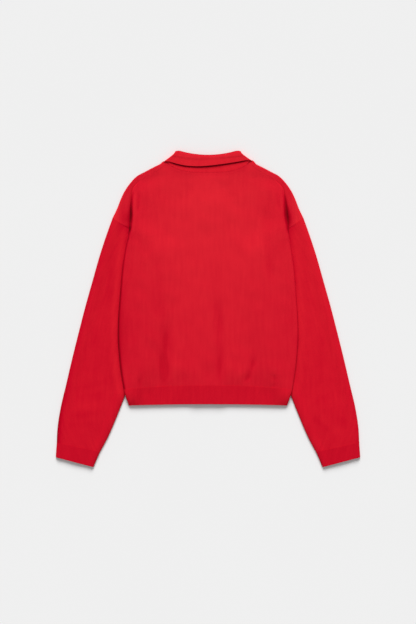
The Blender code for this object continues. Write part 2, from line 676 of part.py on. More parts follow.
def make_collar(rib):
    """One band of knit, linked round the neck and folded over outwards."""
    rings = collar_rings()
    half = [(share, False) for share in (*COLLAR_BACK, 1.0)] + [(share, True) for share in COLLAR_FRONT]
    points = {}
    for k, (ring, power) in enumerate(rings):
        tilt = LEAF_TILT * smooth((k - TILT_START) / (len(rings) - 1 - TILT_START))
        for c, (share, front) in enumerate(half):
            points[k, c] = collar_point(ring, power, share, front, tilt)
            if c:
                left = collar_point(ring, power, share, front, -tilt)
                points[k, -c] = Vector((-left.x, left.y, left.z))
    last = len(half) - 1
    faces = grid_faces(range(len(rings)), range(-last, last + 1))
    return thicken("collar", with_normals(points, faces), faces, CLOTH, rib)


def with_normals(points, faces):
    """Cells with each point's normal: the mean of its faces' normals, weighted by their angles there."""
    normals = {key: Vector() for key in points}
    for face in faces:
        for i, key in enumerate(face):
            after = points[face[(i + 1) % 4]] - points[key]
            before = points[face[i - 1]] - points[key]
            normals[key] += after.cross(before).normalized() * after.angle(before)
    return {key: (point, normals[key].normalized()) for key, point in points.items()}


# The zip. Its tapes lie inside the fronts, with a bead along each inner edge where the teeth are.
TAPE = 0.7  # thickness of the tape
TAPE_WIDTH = 13.4
TAPE_INNER = 1.6  # from the zip's middle to the tape's inner edge
BEAD_HALF = 1.0  # half the height of the bead
BEAD_INNER = 0.2  # from the zip's middle to the bead
BEAD_OUTER = 2.9
BEAD_SLOPE = 0.1  # the bead's side leans by this much
ZIP_BOTTOM_Y = -231.8
ZIP_TOP_Y = 258.0
BEAD_TOP_Y = 249.0
BEAD_END = 0.4  # the bead ends over this length
TAPE_ROWS_Y = [-175.0, -90.0, 0.0, 90.0, 170.0, 185.0, 200.0, 215.0, 230.0]  # between hem and slider
HEM_STEP = 12.0  # the wall changes from rib to body within this distance of the hem rib
PLATE = 0.7  # thickness of the slider's and the box's plates
CLEAR = 0.3  # gap between the metal pieces, and to the beads
BOX_LENGTH = 9.0
BOX_END = 1.2  # thickness of the box's closed end
BOX_INSET = 0.2  # the box is this much narrower than the slider on each side
SLIDER_HALF = 4.5
SLIDER_LENGTH = 11.0
SLIDER_TOP_Y = BEAD_TOP_Y + 4.5
WEB_HALF = 1.2  # half width of the web between the slider's plates, and of its bridge
WEB_INSET = 0.3  # the web stops this far inside the plates
BRIDGE_REACH = 2.3  # how far the slider's bridge stands out from its plate
BRIDGE_POST = 0.9  # thickness of the bridge's two posts along the zip
BRIDGE_LAP = 0.5  # how far the bar across them overlaps each post
PIN_DROP = 0.1  # the pin is this much nearer the plate than the middle of the bridge
PIN_RADIUS = 0.6
PIVOT_Y = SLIDER_TOP_Y - 4.0
TAB_LENGTH = 26.0
TAB_HALF = 3.4
TAB_THICK = 1.2
TAB_EYE = 1.6  # length of the tab's slot past the pin
TAB_LAP = 0.1  # how far the tab's arms overlap its plate


def chain_middle(y):
    """Height of the zip's middle, inside the fronts' edges."""
    wall = lerp(RIB, CLOTH, smooth((y - HEM_SEAM_Y) / HEM_STEP))
    return front_floor(ZIP_EDGE, y) + wall + SEAM + TAPE / 2


def make_tape(side, tape):
    """A zip tape with the bead of its teeth, as a section moved along the zip."""
    stops = [ZIP_BOTTOM_Y, HEM_SEAM_Y, *TAPE_ROWS_Y, BEAD_TOP_Y, BEAD_TOP_Y + BEAD_END, ZIP_TOP_Y]
    points = []
    for y in stops:
        ended = y > BEAD_TOP_Y
        inner, bead = (TAPE_INNER, TAPE / 2 + BEAD_SLOPE / 5) if ended else (BEAD_INNER, BEAD_HALF)
        outer = TAPE_INNER + TAPE_WIDTH
        under = [
            (inner, -bead),
            (BEAD_OUTER, -bead),
            (BEAD_OUTER + BEAD_SLOPE, -TAPE / 2),
            (outer, -TAPE / 2),
        ]
        section = under + [(x, -z) for x, z in reversed(under)]
        points += [Vector((x, y, chain_middle(y) + z)) for x, z in section]
    count = len(section)
    faces = [
        [r * count + c, (r + 1) * count + c, (r + 1) * count + (c + 1) % count, r * count + (c + 1) % count]
        for r in range(len(stops) - 1)
        for c in range(count)
    ]
    last = (len(stops) - 1) * count
    faces += [list(range(count)), [last + c for c in reversed(range(count))]]
    if side == "left":
        points = [Vector((-p.x, p.y, p.z)) for p in points]
        faces = [turned(face) for face in faces]
    return mesh_object(f"zip_tape_{side}", points, faces, tape)


def block(points_low, points_high):
    """Points and faces of a box between two corners."""
    (x0, y0, z0), (x1, y1, z1) = points_low, points_high
    corners = [Vector((x, y, z)) for z in (z0, z1) for y in (y0, y1) for x in (x0, x1)]
    faces = [[0, 2, 3, 1], [4, 5, 7, 6], [0, 1, 5, 4], [2, 6, 7, 3], [0, 4, 6, 2], [1, 3, 7, 5]]
    return corners, faces


def joined_blocks(name, boxes, material):
    """One solid from boxes that overlap, joined with Booleans."""
    made = mesh_object(name, *block(*boxes[0]), material)
    for i, corners in enumerate(boxes[1:]):
        helper = mesh_object(f"{name}_join_{i}", *block(*corners), material)
        helper.hide_render = True
        helper.display_type = "WIRE"
        union = made.modifiers.new(f"join_{i}", "BOOLEAN")
        union.operation = "UNION"
        union.object = helper
    return made


def make_box(metal):
    """The zip's box, round the ends of both beads at the hem."""
    middle = chain_middle(ZIP_BOTTOM_Y)
    low, high = middle - BEAD_HALF - CLEAR, middle + BEAD_HALF + CLEAR
    x, top = SLIDER_HALF - BOX_INSET, ZIP_BOTTOM_Y + BOX_LENGTH
    end = ZIP_BOTTOM_Y - CLEAR
    boxes = [
        ((-x, end - BOX_END, low - PLATE), (x, top, low)),
        ((-x, end - BOX_END, high), (x, top, high + PLATE)),
        ((-x, end - BOX_END, low - PLATE / 2), (x, end, high + PLATE / 2)),
    ]
    return joined_blocks("zip_box", boxes, metal)


def slider_heights():
    """Where the lower plate of the slider ends and the upper one starts."""
    middle = chain_middle(SLIDER_TOP_Y - SLIDER_LENGTH / 2)
    return middle - BEAD_HALF - CLEAR, middle + BEAD_HALF + CLEAR


def pivot_z():
    return slider_heights()[0] - PLATE - BRIDGE_REACH / 2 + PIN_DROP


def make_slider(metal):
    """The slider: two plates round the beads, a web between them above the beads' ends, and the bridge."""
    low, high = slider_heights()
    bottom = SLIDER_TOP_Y - SLIDER_LENGTH
    web = BEAD_TOP_Y + BEAD_END + CLEAR
    x, half, under = SLIDER_HALF, WEB_HALF, low - PLATE
    pin = PIN_RADIUS + CLEAR
    before, after, foot = PIVOT_Y - pin, PIVOT_Y + pin, under - BRIDGE_REACH
    boxes = [
        ((-x, bottom, under), (x, SLIDER_TOP_Y, low)),
        ((-x, bottom, high), (x, SLIDER_TOP_Y, high + PLATE)),
        ((-half, web, low - PLATE / 2), (half, SLIDER_TOP_Y - WEB_INSET, high + PLATE / 2)),
        ((-half, after, foot), (half, after + BRIDGE_POST, low - PLATE / 2)),
        ((-half, before - BRIDGE_POST, foot), (half, before, low - PLATE / 2)),
        ((-half, before - BRIDGE_LAP, foot), (half, after + BRIDGE_LAP, pivot_z() - pin)),
    ]
    return joined_blocks("zip_slider", boxes, metal)


def make_pull_tab(metal):
    """The pull tab lies along the zip towards the hem. Its origin is on the axis of the slider's bridge."""
    axis = Vector((0, PIVOT_Y, pivot_z()))
    half, eye, pin = TAB_HALF, WEB_HALF + CLEAR, PIN_RADIUS
    thick, slot = TAB_THICK / 2, -PIN_RADIUS - TAB_EYE
    boxes = [
        ((-half, -TAB_LENGTH, -thick), (half, slot, thick)),
        ((-half, slot - TAB_LAP, -thick), (-eye, pin, thick)),
        ((eye, slot - TAB_LAP, -thick), (half, pin, thick)),
        ((-half, -pin, -pin), (half, pin, pin)),
    ]
    made = joined_blocks("zip_pull_tab", boxes, metal)
    made.location = axis * MM
    for helper in [modifier.object for modifier in made.modifiers]:
        helper.location = axis * MM
    return made


def finish(name, colour, roughness, metallic=0.0):
    material = bpy.data.materials.new(name)
    material.use_nodes = True
    shader = material.node_tree.nodes["Principled BSDF"]
    shader.inputs["Base Color"].default_value = (*colour, 1)
    shader.inputs["Roughness"].default_value = roughness
    shader.inputs["Metallic"].default_value = metallic
    return material


def main():
    for old in list(bpy.data.objects):
        bpy.data.objects.remove(old)
    knit = finish("red_knit", (0.62, 0.010, 0.024), 0.85)
    rib = finish("red_rib", (0.56, 0.009, 0.022), 0.88)
    tape = finish("zip_tape_red", (0.42, 0.008, 0.018), 0.8)
    metal = finish("zip_metal", (0.62, 0.62, 0.64), 0.32, 1.0)
    make_back(knit)
    make_back_hem(rib)
    make_collar(rib)
    for side in ("left", "right"):
        make_front(side, knit)
        make_front_hem(side, rib)
        make_tube("sleeve", SLEEVE_STATIONS, CLOTH, side, knit)
        make_tube("cuff", CUFF_STATIONS, RIB, side, rib)
        make_tape(side, tape)
    make_box(metal)
    make_slider(metal)
    make_pull_tab(metal)


main()
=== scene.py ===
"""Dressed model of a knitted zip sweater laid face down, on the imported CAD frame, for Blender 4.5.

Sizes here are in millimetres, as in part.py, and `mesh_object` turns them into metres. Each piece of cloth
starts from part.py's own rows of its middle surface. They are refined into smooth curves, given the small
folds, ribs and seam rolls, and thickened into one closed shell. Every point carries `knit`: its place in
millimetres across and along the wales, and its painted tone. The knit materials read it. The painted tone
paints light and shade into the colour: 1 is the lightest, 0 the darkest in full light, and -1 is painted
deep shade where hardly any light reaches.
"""

import json
import math
from collections import namedtuple

import bpy
import numpy as np
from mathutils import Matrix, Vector

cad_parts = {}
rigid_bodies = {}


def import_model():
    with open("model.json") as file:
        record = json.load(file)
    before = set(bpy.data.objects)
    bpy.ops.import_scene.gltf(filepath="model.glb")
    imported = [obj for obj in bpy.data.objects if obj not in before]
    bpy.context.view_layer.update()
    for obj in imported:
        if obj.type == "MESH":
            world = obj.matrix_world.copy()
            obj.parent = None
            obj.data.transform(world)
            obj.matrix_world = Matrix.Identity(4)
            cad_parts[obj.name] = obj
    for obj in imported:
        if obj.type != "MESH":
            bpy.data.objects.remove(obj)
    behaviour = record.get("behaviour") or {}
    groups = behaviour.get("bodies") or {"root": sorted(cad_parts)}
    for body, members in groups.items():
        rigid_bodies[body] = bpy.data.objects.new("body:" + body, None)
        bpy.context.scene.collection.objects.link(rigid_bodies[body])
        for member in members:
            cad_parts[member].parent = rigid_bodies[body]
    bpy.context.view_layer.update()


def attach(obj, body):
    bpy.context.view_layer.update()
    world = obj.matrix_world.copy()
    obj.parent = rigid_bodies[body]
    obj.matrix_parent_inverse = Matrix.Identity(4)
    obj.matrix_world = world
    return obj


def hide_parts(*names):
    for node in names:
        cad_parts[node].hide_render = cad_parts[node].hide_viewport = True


for old in list(bpy.data.objects):
    bpy.data.objects.remove(old)
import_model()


def rows_of(kind, table):
    return [kind(*row) for row in table]


# Sizes shared with part.py, in millimetres.
MM = 0.001
CLOTH = 2.0
RIB = 2.4
SEAM = 0.3
AIR = 1.2
NEST = 2 * CLOTH + AIR  # two layers of knit that lie on each other
RIB_AIR = 1.0
RIB_NEST = 2 * RIB + RIB_AIR
SLEEVE_CROWN = 0.5
SLEEVE_LIFT = NEST + SLEEVE_CROWN + SEAM
SLEEVE_MARGIN = 2.0
FRONT_RAMP = 17.0
BACK_RAMP = 55.0
EDGE_SPREAD = 40.0
COLLAR_LIFT = 2.7
COLLAR_PRINT_X = 120.0
COLLAR_PRINT_Y = 142.0
COLLAR_PRINT_FADE = 0.33
ZIP_LIFT = 1.2
ZIP_RIDGE_HALF = 14.0
ZIP_RIDGE_SLOPE = 25.0
ZIP_RISE = 1.1
BACK_RIDGE_WIDER = 1.25
DOME = 2.4
DOME_RISE = 50.0
NECK_BUMP = 1.5
NECK_BUMP_Y = 244.0
NECK_BUMP_HALF_X = 80.0
NECK_BUMP_HALF_Y = 75.0
ZIP_EDGE = 5.0
HEM_Y = -234.0
HEM_DROP = 3.0
HEM_SEAM_Y = -188.5
HEM_SEAM_DROP = 9.5
HEM_BOTTOM_ROW = HEM_SEAM_Y - HEM_SEAM_DROP
HEM_CURVE_REACH = 60.0
BACK_NECK_Y = 333.8
NECK_POWER = 3.4
FRONT_NECK_POWER = 1.7

SideRow = namedtuple("SideRow", "y half_width")
SIDE = rows_of(SideRow, [
    (-237.0, 194.3),
    (-212.0, 202.6),
    (-198.0, 206.0),
    (-168.0, 211.4),
    (-119.0, 217.5),
    (-65.0, 221.0),
    (-16.0, 219.7),
    (31.0, 216.0),
    (99.0, 210.0),
    (151.0, 202.0),
    (197.0, 195.5),
])

UpperRow = namedtuple("UpperRow", "outer_x outer_y crease_x crease_y step back_y front_y")
UPPER = rows_of(UpperRow, [
    (233.9, 222.6, 195.5, 195.1, 6.0, 197.0, 119.5),
    (222.3, 247.3, 194.0, 221.0, 5.2, 219.0, 138.0),
    (214.8, 266.8, 191.5, 245.0, 4.3, 240.0, 154.0),
    (205.4, 286.7, 188.0, 269.0, 3.0, 259.0, 179.0),
    (192.3, 306.1, 183.0, 294.0, 1.2, 277.0, 202.0),
    (172.8, 325.9, 160.0, 317.2, 0.0, 293.0, 221.0),
    (154.5, 335.7, 143.5, 327.3, 0.0, 306.0, 237.0),
    (127.3, 349.6, 118.0, 341.5, 0.0, 320.0, 250.0),
    (103.0, 360.5, 95.5, 353.4, 0.0, BACK_NECK_Y, 261.0),
])

SleeveRow = namedtuple("SleeveRow", "outer_x outer_y inner_x inner_y crown")
SLEEVE = rows_of(SleeveRow, [
    (233.9, 222.6, 112.0, 132.0, 0.0),
    (259.8, 149.0, 118.0, 59.0, SLEEVE_CROWN),
    (282.5, 70.6, 128.0, -1.0, SLEEVE_CROWN),
    (301.3, 3.5, 143.0, -61.0, SLEEVE_CROWN),
    (318.8, -64.5, 163.0, -119.0, SLEEVE_CROWN),
    (335.1, -130.5, 184.5, -171.0, SLEEVE_CROWN),
    (348.6, -188.5, 203.0, -213.0, 0.8),
    (361.4, -242.7, 223.0, -262.8, 2.2),
    (369.5, -297.0, 247.2, -318.6, 2.0),
    (371.0, -329.0, 265.0, -351.5, 1.6),
    (373.6, -364.2, 281.0, -388.6, 1.5),
])
CUFF_ROW = 9

SLIT_TIP_Y = 119.5
SLIT_LIP_Y = 183.0
SEAM_SAMPLES = 24
EDGE_SAMPLES = 6

# Sizes that only the dressed model has.
PANEL_STEP = 3.2  # length of a mesh face on a panel
HIDDEN_STEP = 4.0  # on the fronts
RIB_STEP = 1.25  # across a rib
RIB_LENGTH_STEP = 3.0  # and along it
COLLAR_STEP = 2.6
RIB_PITCH = 5.0
RIB_RELIEF = 0.16
SEAM_ROLL = 0.14  # how far a seam's edge bulges
SEAM_CLOSE = 0.12  # how far its corners reach into the gap
HEM_ROLL = 0.45  # how far a free edge bulges
TUCK_DIP = 1.0  # how far the tuck's foot dips into the dropped shoulder above the underarm
DIP_STEP = 3.0  # a tuck at least this high has the full dip
TUCK_WALL = ((-2.6, 0.0), (0.1, 0.2), (0.7, 0.62), (0.6, 1.0))  # sideways, and share of the way down
WINDOW = (0.0, 0.86, 0.51)  # where the light comes from: low, past the collar

# Soft creases in plan, from one end to the other, bent sideways in the middle. depth is positive for a trough
# and negative for a ridge. width is the distance at which it has fallen to about a third.
Crease = namedtuple("Crease", "start_x start_y end_x end_y bend width depth")
BACK_CREASES = rows_of(Crease, [
    (-100, -32, -105, -192, -3, 13, 1.5),
    (-121, -95, -114, -190, 4, 9, 0.5),
    (-80, -40, -83, -186, 3, 9, -0.5),
    (25, 24, 27, -186, 3, 13, 1.4),
    (45, 0, 47, -180, 3, 9, -0.4),
    (113, -112, 88, -184, 5, 9, 1.2),
    (96, -112, 70, -180, 5, 8, -0.4),
    (-124, 150, -120, -60, 4, 17, 0.8),
    (146, 270, 161, 52, -7, 14, 1.0),
    (128, 240, 138, 60, -6, 13, -0.4),
    (26, 118, 25, -40, -3, 16, 0.6),
    (163, -158, 160, -198, 2, 8, 0.8),
    (-166, -160, -166, -200, -2, 7, 0.7),
    (-60, -150, -58, -190, 2, 9, 0.5),
    (-188, 186, -150, 120, 8, 12, 0.6),
    (188, 180, 172, 110, -5, 10, 0.5),
    (-40, 318, -64, 262, 5, 13, 0.4),
    (-169, 286, -176, 232, 2, 4.5, 0.8),
    (-180, 280, -184, 228, 1, 4, -0.5),
    (172, 284, 178, 234, -2, 4.5, 0.7),
    (182, 280, 185, 230, -1, 4, -0.4),
    (50, 320, 66, 268, -5, 13, 0.4),
])
LEFT_CREASES = rows_of(Crease, [
    (-222, 176, -262, -40, 6, 11, 0.9),
    (-258, -40, -272, -170, -6, 12, 0.6),
    (-238, -168, -318, -196, 5, 8, 0.8),
    (-246, -206, -330, -222, -4, 9, 0.8),
    (-262, -250, -344, -262, 5, 9, 0.9),
    (-276, -284, -352, -286, -4, 9, 0.8),
    (-240, -188, -322, -208, 4, 8, -0.7),
    (-256, -228, -340, -241, 3, 9, -0.8),
    (-270, -268, -350, -275, 3, 8, -0.7),
])
RIGHT_CREASES = rows_of(Crease, [
    (224, 170, 258, -20, -6, 11, 0.7),
    (262, -60, 282, -180, 6, 12, 0.6),
    (250, -236, 318, -210, 5, 9, 0.8),
    (256, -262, 306, -300, -4, 8, 1.1),
    (270, -262, 330, -306, -5, 9, -0.9),
    (296, -250, 350, -286, -4, 10, 0.8),
    (246, -190, 326, -176, 4, 9, 0.5),
])
CREASE_REACH = ((-0.08, 0.32), (1.08, 0.68))  # shares of its length at which a crease fades in and out
CREASE_UNEVEN = 0.25  # how much its depth swells and shrinks
CREASE_SWELLS = 9.0  # and how fast, in radians along it
WAVES = 14  # low waves that are added up in unevenly smoothed cloth
LONGEST_WAVE = 70.0
SHORTEST_SHARE = 0.45  # of the longest
BACK_UNEVEN = 0.16
SLEEVE_UNEVEN = 0.25

# Cut of each piece before it is linked on: its longest width and length and its area, in metres. A tube's
# is all round.
Cut = namedtuple("Cut", "width length area")


def smooth(t):
    t = min(max(t, 0.0), 1.0)
    return t * t * (3 - 2 * t)


def soft(t):
    """smooth, for arrays."""
    t = np.clip(t, 0.0, 1.0)
    return t * t * (3 - 2 * t)


def lerp(a, b, t):
    return a + (b - a) * t


def ramp(value, ends):
    """0 on one side of the ends and 1 on the other: it starts at the first and is full at the second."""
    start, full = ends
    return soft((value - start) / (full - start))


def within(value, reach):
    """1 between the two ramps of the reach, and 0 outside them."""
    return ramp(value, reach[0]) * ramp(value, reach[1])


def through(keys, values):
    """A smooth function through the values, straight beyond the ends."""
    count = len(keys)
    steps = [(values[i + 1] - values[i]) / (keys[i + 1] - keys[i]) for i in range(count - 1)]
    slopes = [steps[0], *[(a + b) / 2 for a, b in zip(steps, steps[1:])], steps[-1]]

    def value(key):
        if key <= keys[0]:
            return values[0] + slopes[0] * (key - keys[0])
        if key >= keys[-1]:
            return values[-1] + slopes[-1] * (key - keys[-1])
        i = max(j for j in range(count - 1) if keys[j] <= key)
        span = keys[i + 1] - keys[i]
        t = (key - keys[i]) / span
        rise = values[i + 1] - values[i]
        start, end = slopes[i] * span, slopes[i + 1] * span
        return values[i] + start * t + (3 * rise - 2 * start - end) * t**2 + (start + end - 2 * rise) * t**3

    return value


def column(table, name):
    return [getattr(row, name) for row in table]


side_x = through(column(SIDE, "y"), column(SIDE, "half_width"))
SLEEVE_KEYS = list(range(len(SLEEVE)))
sleeve_at = {name: through(SLEEVE_KEYS, column(SLEEVE, name)) for name in SleeveRow._fields}
inner_x = through([-row.inner_y for row in SLEEVE], column(SLEEVE, "inner_x"))


def side_line(y, top=SIDE[-1].y):
    """The body's half width at each of the heights, up to the top."""
    return np.array([side_x(min(max(height, SIDE[0].y), top)) for height in y])


def root_y(x):
    """The armhole seam's straight line in plan."""
    root = SLEEVE[0]
    return lerp(root.inner_y, root.outer_y, (x - root.inner_x) / (root.outer_x - root.inner_x))


def sleeve_boundary():
    """Points along the edge of the sleeve that lies under the body: the armhole seam, then the inner edge."""
    first = SLEEVE[0]
    shares = [i / SEAM_SAMPLES for i in range(SEAM_SAMPLES)]
    seam = [(lerp(first.outer_x, first.inner_x, s), lerp(first.outer_y, first.inner_y, s)) for s in shares]
    spread = len(SLEEVE) * EDGE_SAMPLES
    keys = [i * (len(SLEEVE) - 1) / spread for i in range(spread + 1)]
    return seam + [(sleeve_at["inner_x"](k), sleeve_at["inner_y"](k)) for k in keys]


BOUNDARY = sleeve_boundary()


def beyond_sleeve(x, y):
    """How far a plan point is from the sleeve that is tucked under the body, 0 over the sleeve."""
    if x >= SLEEVE[0].inner_x and y <= root_y(x) and x >= inner_x(-min(y, SLEEVE[0].inner_y)):
        return 0.0
    return min(math.dist((x, y), point) for point in BOUNDARY)


def zip_ridge(x):
    return 1 - smooth((x - ZIP_RIDGE_HALF) / ZIP_RIDGE_SLOPE)


def collar_zone(x, y):
    """1 where the collar's front leaf lies under the fronts, falling to 0 around it."""
    radius = math.hypot(x / COLLAR_PRINT_X, min(y - UPPER[-1].outer_y, 0) / COLLAR_PRINT_Y)
    return 1 - smooth((radius - 1) / COLLAR_PRINT_FADE)


def collar_rise(x, y):
    return COLLAR_LIFT * collar_zone(x, y)


def front_floor(x, y):
    return lerp(ZIP_LIFT * zip_ridge(x), COLLAR_LIFT, collar_zone(x, y))


def front_low(x, y):
    """Height of a front's lower face below the armhole, where its side lies on the sleeve."""
    on_sleeve = 1 - smooth((beyond_sleeve(x, y) - SLEEVE_MARGIN) / FRONT_RAMP)
    return lerp(front_floor(x, y), SLEEVE_LIFT, on_sleeve)


def back_low(x, y):
    """Height of the back's lower face away from its edges, with no folds."""
    above_rib = smooth((y - HEM_BOTTOM_ROW) / DOME_RISE)
    ridge = zip_ridge(x / BACK_RIDGE_WIDER)
    dome = 1 - (1 - above_rib) * (1 - ridge)
    bump = 1 - smooth(math.hypot(x / NECK_BUMP_HALF_X, (y - NECK_BUMP_Y) / NECK_BUMP_HALF_Y))
    on_sleeve = 1 - smooth(beyond_sleeve(x, y) / BACK_RAMP)
    flat = CLOTH + AIR + DOME * dome + ZIP_RISE * ridge + NECK_BUMP * bump
    return lerp(flat, SLEEVE_LIFT + CLOTH + AIR, on_sleeve)


ARC_TURNS = (90, 60, 30)  # degrees round a fold, from the flat to the linking seam


def edge_arc(edge_x, edge_y, out, middle, nest, cloth, up):
    """A wall's turned edge, from the flat inwards: half of the rounded fold between two layers."""
    radius = (nest - cloth) / 2
    last = math.degrees(math.asin(SEAM / 2 / radius))
    made = []
    for angle in (*ARC_TURNS, last):
        turn = math.radians(angle)
        inset = cloth / 2 + radius * (1 - math.cos(turn))
        z = middle + up * radius * math.sin(turn)
        made.append(Vector((edge_x - out[0] * inset, edge_y - out[1] * inset, z)))
    return made


def upper_normal(index):
    """The way out of the garment, in plan, at the outer end of a row from the armhole up."""
    if index == 0:
        root = SLEEVE[0]
        return Vector((root.outer_x - root.inner_x, root.outer_y - root.inner_y)).normalized()
    before, after = UPPER[index - 1], UPPER[min(index + 1, len(UPPER) - 1)]
    along = Vector((after.outer_x - before.outer_x, after.outer_y - before.outer_y)).normalized()
    return Vector((along.y, -along.x))


def upper_arc(index, up):
    row = UPPER[index]
    middle = NEST / 2 + collar_rise(row.outer_x, row.outer_y)
    return edge_arc(row.outer_x, row.outer_y, upper_normal(index), middle, NEST, CLOTH, up)


UP = Vector((0, 0, 1))
# Rows of the body from the hem rib to the underarm, and its columns as shares of the half width.
BODY_Y = [-177.0, -153.0, -119.0, -76.0, -31.0, 14.0, 59.0, 104.0, 147.0, SLIT_LIP_Y]
TORSO_SHARES = [0.0, 0.13, 0.26, 0.38, 0.50, 0.62, 0.74, 0.85, 0.94]
SHOULDER_SHARES = (0.36, 0.7)  # columns of the dropped shoulder, from the tuck to its fold


def hem_line(x, half_width, middle_y, drop):
    return middle_y - drop * (x / half_width) ** 2


def row_drop(edge_y):
    """How much lower than its middle a row of the body is at its sides."""
    return HEM_SEAM_DROP * (1 - smooth((edge_y - HEM_BOTTOM_ROW) / HEM_CURVE_REACH))


def back_row_low(x, y, edge_x, edge_low):
    return lerp(edge_low, back_low(x, y), smooth((edge_x - x) / EDGE_SPREAD))


def back_lower_row(edge_y):
    edge_x = side_x(edge_y)
    drop = row_drop(edge_y)
    floor = front_low(edge_x, edge_y)
    edge_low = floor + CLOTH + AIR
    flat_x = edge_x - NEST / 2
    cells = []
    for share in TORSO_SHARES:
        x = flat_x * share
        y = hem_line(x, edge_x, edge_y + drop, drop)
        cells.append(Vector((x, y, back_row_low(x, y, flat_x, edge_low) + CLOTH / 2)))
    return cells + edge_arc(edge_x, edge_y, (1, 0), floor + NEST / 2, NEST, CLOTH, 1)


CAP_LOW = CLOTH + AIR  # height of the dropped shoulder's lower face


def on_cap(place):
    return Vector((place.x, place.y, CAP_LOW + collar_rise(place.x, place.y) + CLOTH / 2))


def back_upper_row(index):
    row = UPPER[index]
    edge_low = CAP_LOW + row.step + collar_rise(row.crease_x, row.crease_y)
    cells = []
    for share in TORSO_SHARES:
        x = row.crease_x * share
        y = lerp(row.back_y, row.crease_y, share**NECK_POWER)
        cells.append(Vector((x, y, back_row_low(x, y, row.crease_x, edge_low) + CLOTH / 2)))
    dip = TUCK_DIP * min(1.0, row.step / DIP_STEP) if index else 0.0
    for shift, share_down in TUCK_WALL:
        z = edge_low + CLOTH / 2 - (row.step + dip) * share_down
        place = Vector((row.crease_x + shift, row.crease_y, z))
        cells.append(place if row.step else on_cap(place))
    arc = upper_arc(index, 1)
    start, end = cells[-1], arc[0]
    return cells + [on_cap(start.lerp(end, share)) for share in SHOULDER_SHARES] + arc


def shifted_along(cells, distance):
    return [place + Vector((0, distance, 0)) for place in cells]


# Refinement. A grid is an array of rows and columns whose last axis is x, y, z, then across and along wales.


def with_knit(rows, width=0):
    """The right half's rows as a grid from the middle or zip outwards. Rows shorter than width end in NaN."""
    width = width or len(rows[0])
    grid = np.full((len(rows), width, 5), np.nan)
    for r, row in enumerate(rows):
        points = np.array([tuple(place) for place in row])
        across = np.hypot(*np.diff(points[:, [0, 2]], axis=0).T)
        grid[r, : len(row), :3] = points
        grid[r, : len(row), 3] = points[0, 0] + np.concatenate([[0.0], np.cumsum(across)])
        grid[r, : len(row), 4] = points[:, 1]
    return grid


def flipped(grid):
    """The grid on the garment's other side, with its columns still from left to right."""
    return grid[:, ::-1] * np.array([-1, 1, 1, -1, 1])


def on_side(grid, side):
    """The right half's grid on the side that it is for, or on both if it is for neither."""
    if side is None:
        return np.concatenate([flipped(grid)[:, :-1], grid], axis=1)
    return flipped(grid) if side == "left" else grid


def spans(values, step):
    """How many faces each span along the first axis gets."""
    lengths = np.linalg.norm(np.diff(values[..., :3], axis=0), axis=-1)
    longest = np.nanmax(lengths, axis=1)
    return np.maximum(np.round(longest / step), 1).astype(int)


def curved(values, counts, closed):
    """Values refined along the first axis, as curves through them whose slope allows for uneven spans."""
    lengths = np.linalg.norm(np.diff(values[..., :3], axis=0), axis=-1)[..., None]
    lengths = np.maximum(lengths, 1e-6)
    steps = np.diff(values, axis=0) / lengths
    slopes = np.empty_like(values)
    before, after = lengths[:-1], lengths[1:]
    slopes[1:-1] = (steps[:-1] * after + steps[1:] * before) / (before + after)
    if closed:
        ends = (steps[-1] * lengths[0] + steps[0] * lengths[-1]) / (lengths[0] + lengths[-1])
        slopes[0] = slopes[-1] = ends
    elif len(values) > 2:
        slopes[0] = 1.5 * steps[0] - 0.5 * slopes[1]
        slopes[-1] = 1.5 * steps[-1] - 0.5 * slopes[-2]
    else:
        slopes[:] = steps[0]
    parts = []
    for i, count in enumerate(counts):
        t = (np.arange(count) / count)[:, None, None]
        rise, out, into = values[i + 1] - values[i], slopes[i] * lengths[i], slopes[i + 1] * lengths[i]
        part = out * t + (3 * rise - 2 * out - into) * t**2 + (out + into - 2 * rise) * t**3
        parts.append(values[i] + part)
    return np.concatenate([*parts, values[-1:]])


def refined_first(grid, step, closed=False):
    """The grid refined along its first axis. Lines that start late or end early keep their own ends."""
    counts = spans(grid, step)
    starts = np.concatenate([[0], np.cumsum(counts)])
    fine = np.full((starts[-1] + 1, *grid.shape[1:]), np.nan)
    there = ~np.isnan(grid[..., 0])
    first = there.argmax(axis=0)
    last = len(grid) - 1 - there[::-1].argmax(axis=0)
    for low, high in {(a, b) for a, b in zip(first, last)}:
        lines = (first == low) & (last == high)
        part = curved(grid[low : high + 1, lines], counts[low:high], closed)
        fine[starts[low] : starts[high] + 1, lines] = part
    return fine


def refined(grid, row_step, column_step, closed=False):
    across = refined_first(grid.swapaxes(0, 1), column_step, closed).swapaxes(0, 1)
    return refined_first(across, row_step)


Surface = namedtuple("Surface", "points knit quads tone")
WELD_DIGITS = 4
# The painted tone of pieces that have no painted light or shade of their own.
PLAIN_TONE = 0.5


def surface(grids, downwards=False):
    """One quad mesh from grids, welded where their points are the same."""
    points, quads, offset = [], [], 0
    for grid in grids:
        rows, columns = grid.shape[:2]
        index = np.arange(rows * columns).reshape(rows, columns)
        corners = [index[:-1, :-1], index[:-1, 1:], index[1:, 1:], index[1:, :-1]]
        made = np.stack(corners, axis=-1).reshape(-1, 4)
        flat = grid.reshape(-1, grid.shape[-1])
        made = made[~np.isnan(flat[made, 0]).any(axis=1)]
        points.append(flat)
        quads.append(made + offset)
        offset += len(flat)
    points, quads = np.concatenate(points), np.concatenate(quads)
    used = np.unique(quads)
    where = np.full(len(points), -1)
    places = np.round(points[used, :3], WELD_DIGITS)
    _, first, index = np.unique(places, axis=0, return_index=True, return_inverse=True)
    where[used] = index.reshape(-1)
    kept = points[used[first]]
    quads = where[quads]
    tone = kept[:, 5] if kept.shape[1] > 5 else np.full(len(kept), PLAIN_TONE)
    return Surface(kept[:, :3], kept[:, 3:5], quads[:, ::-1] if downwards else quads, tone)


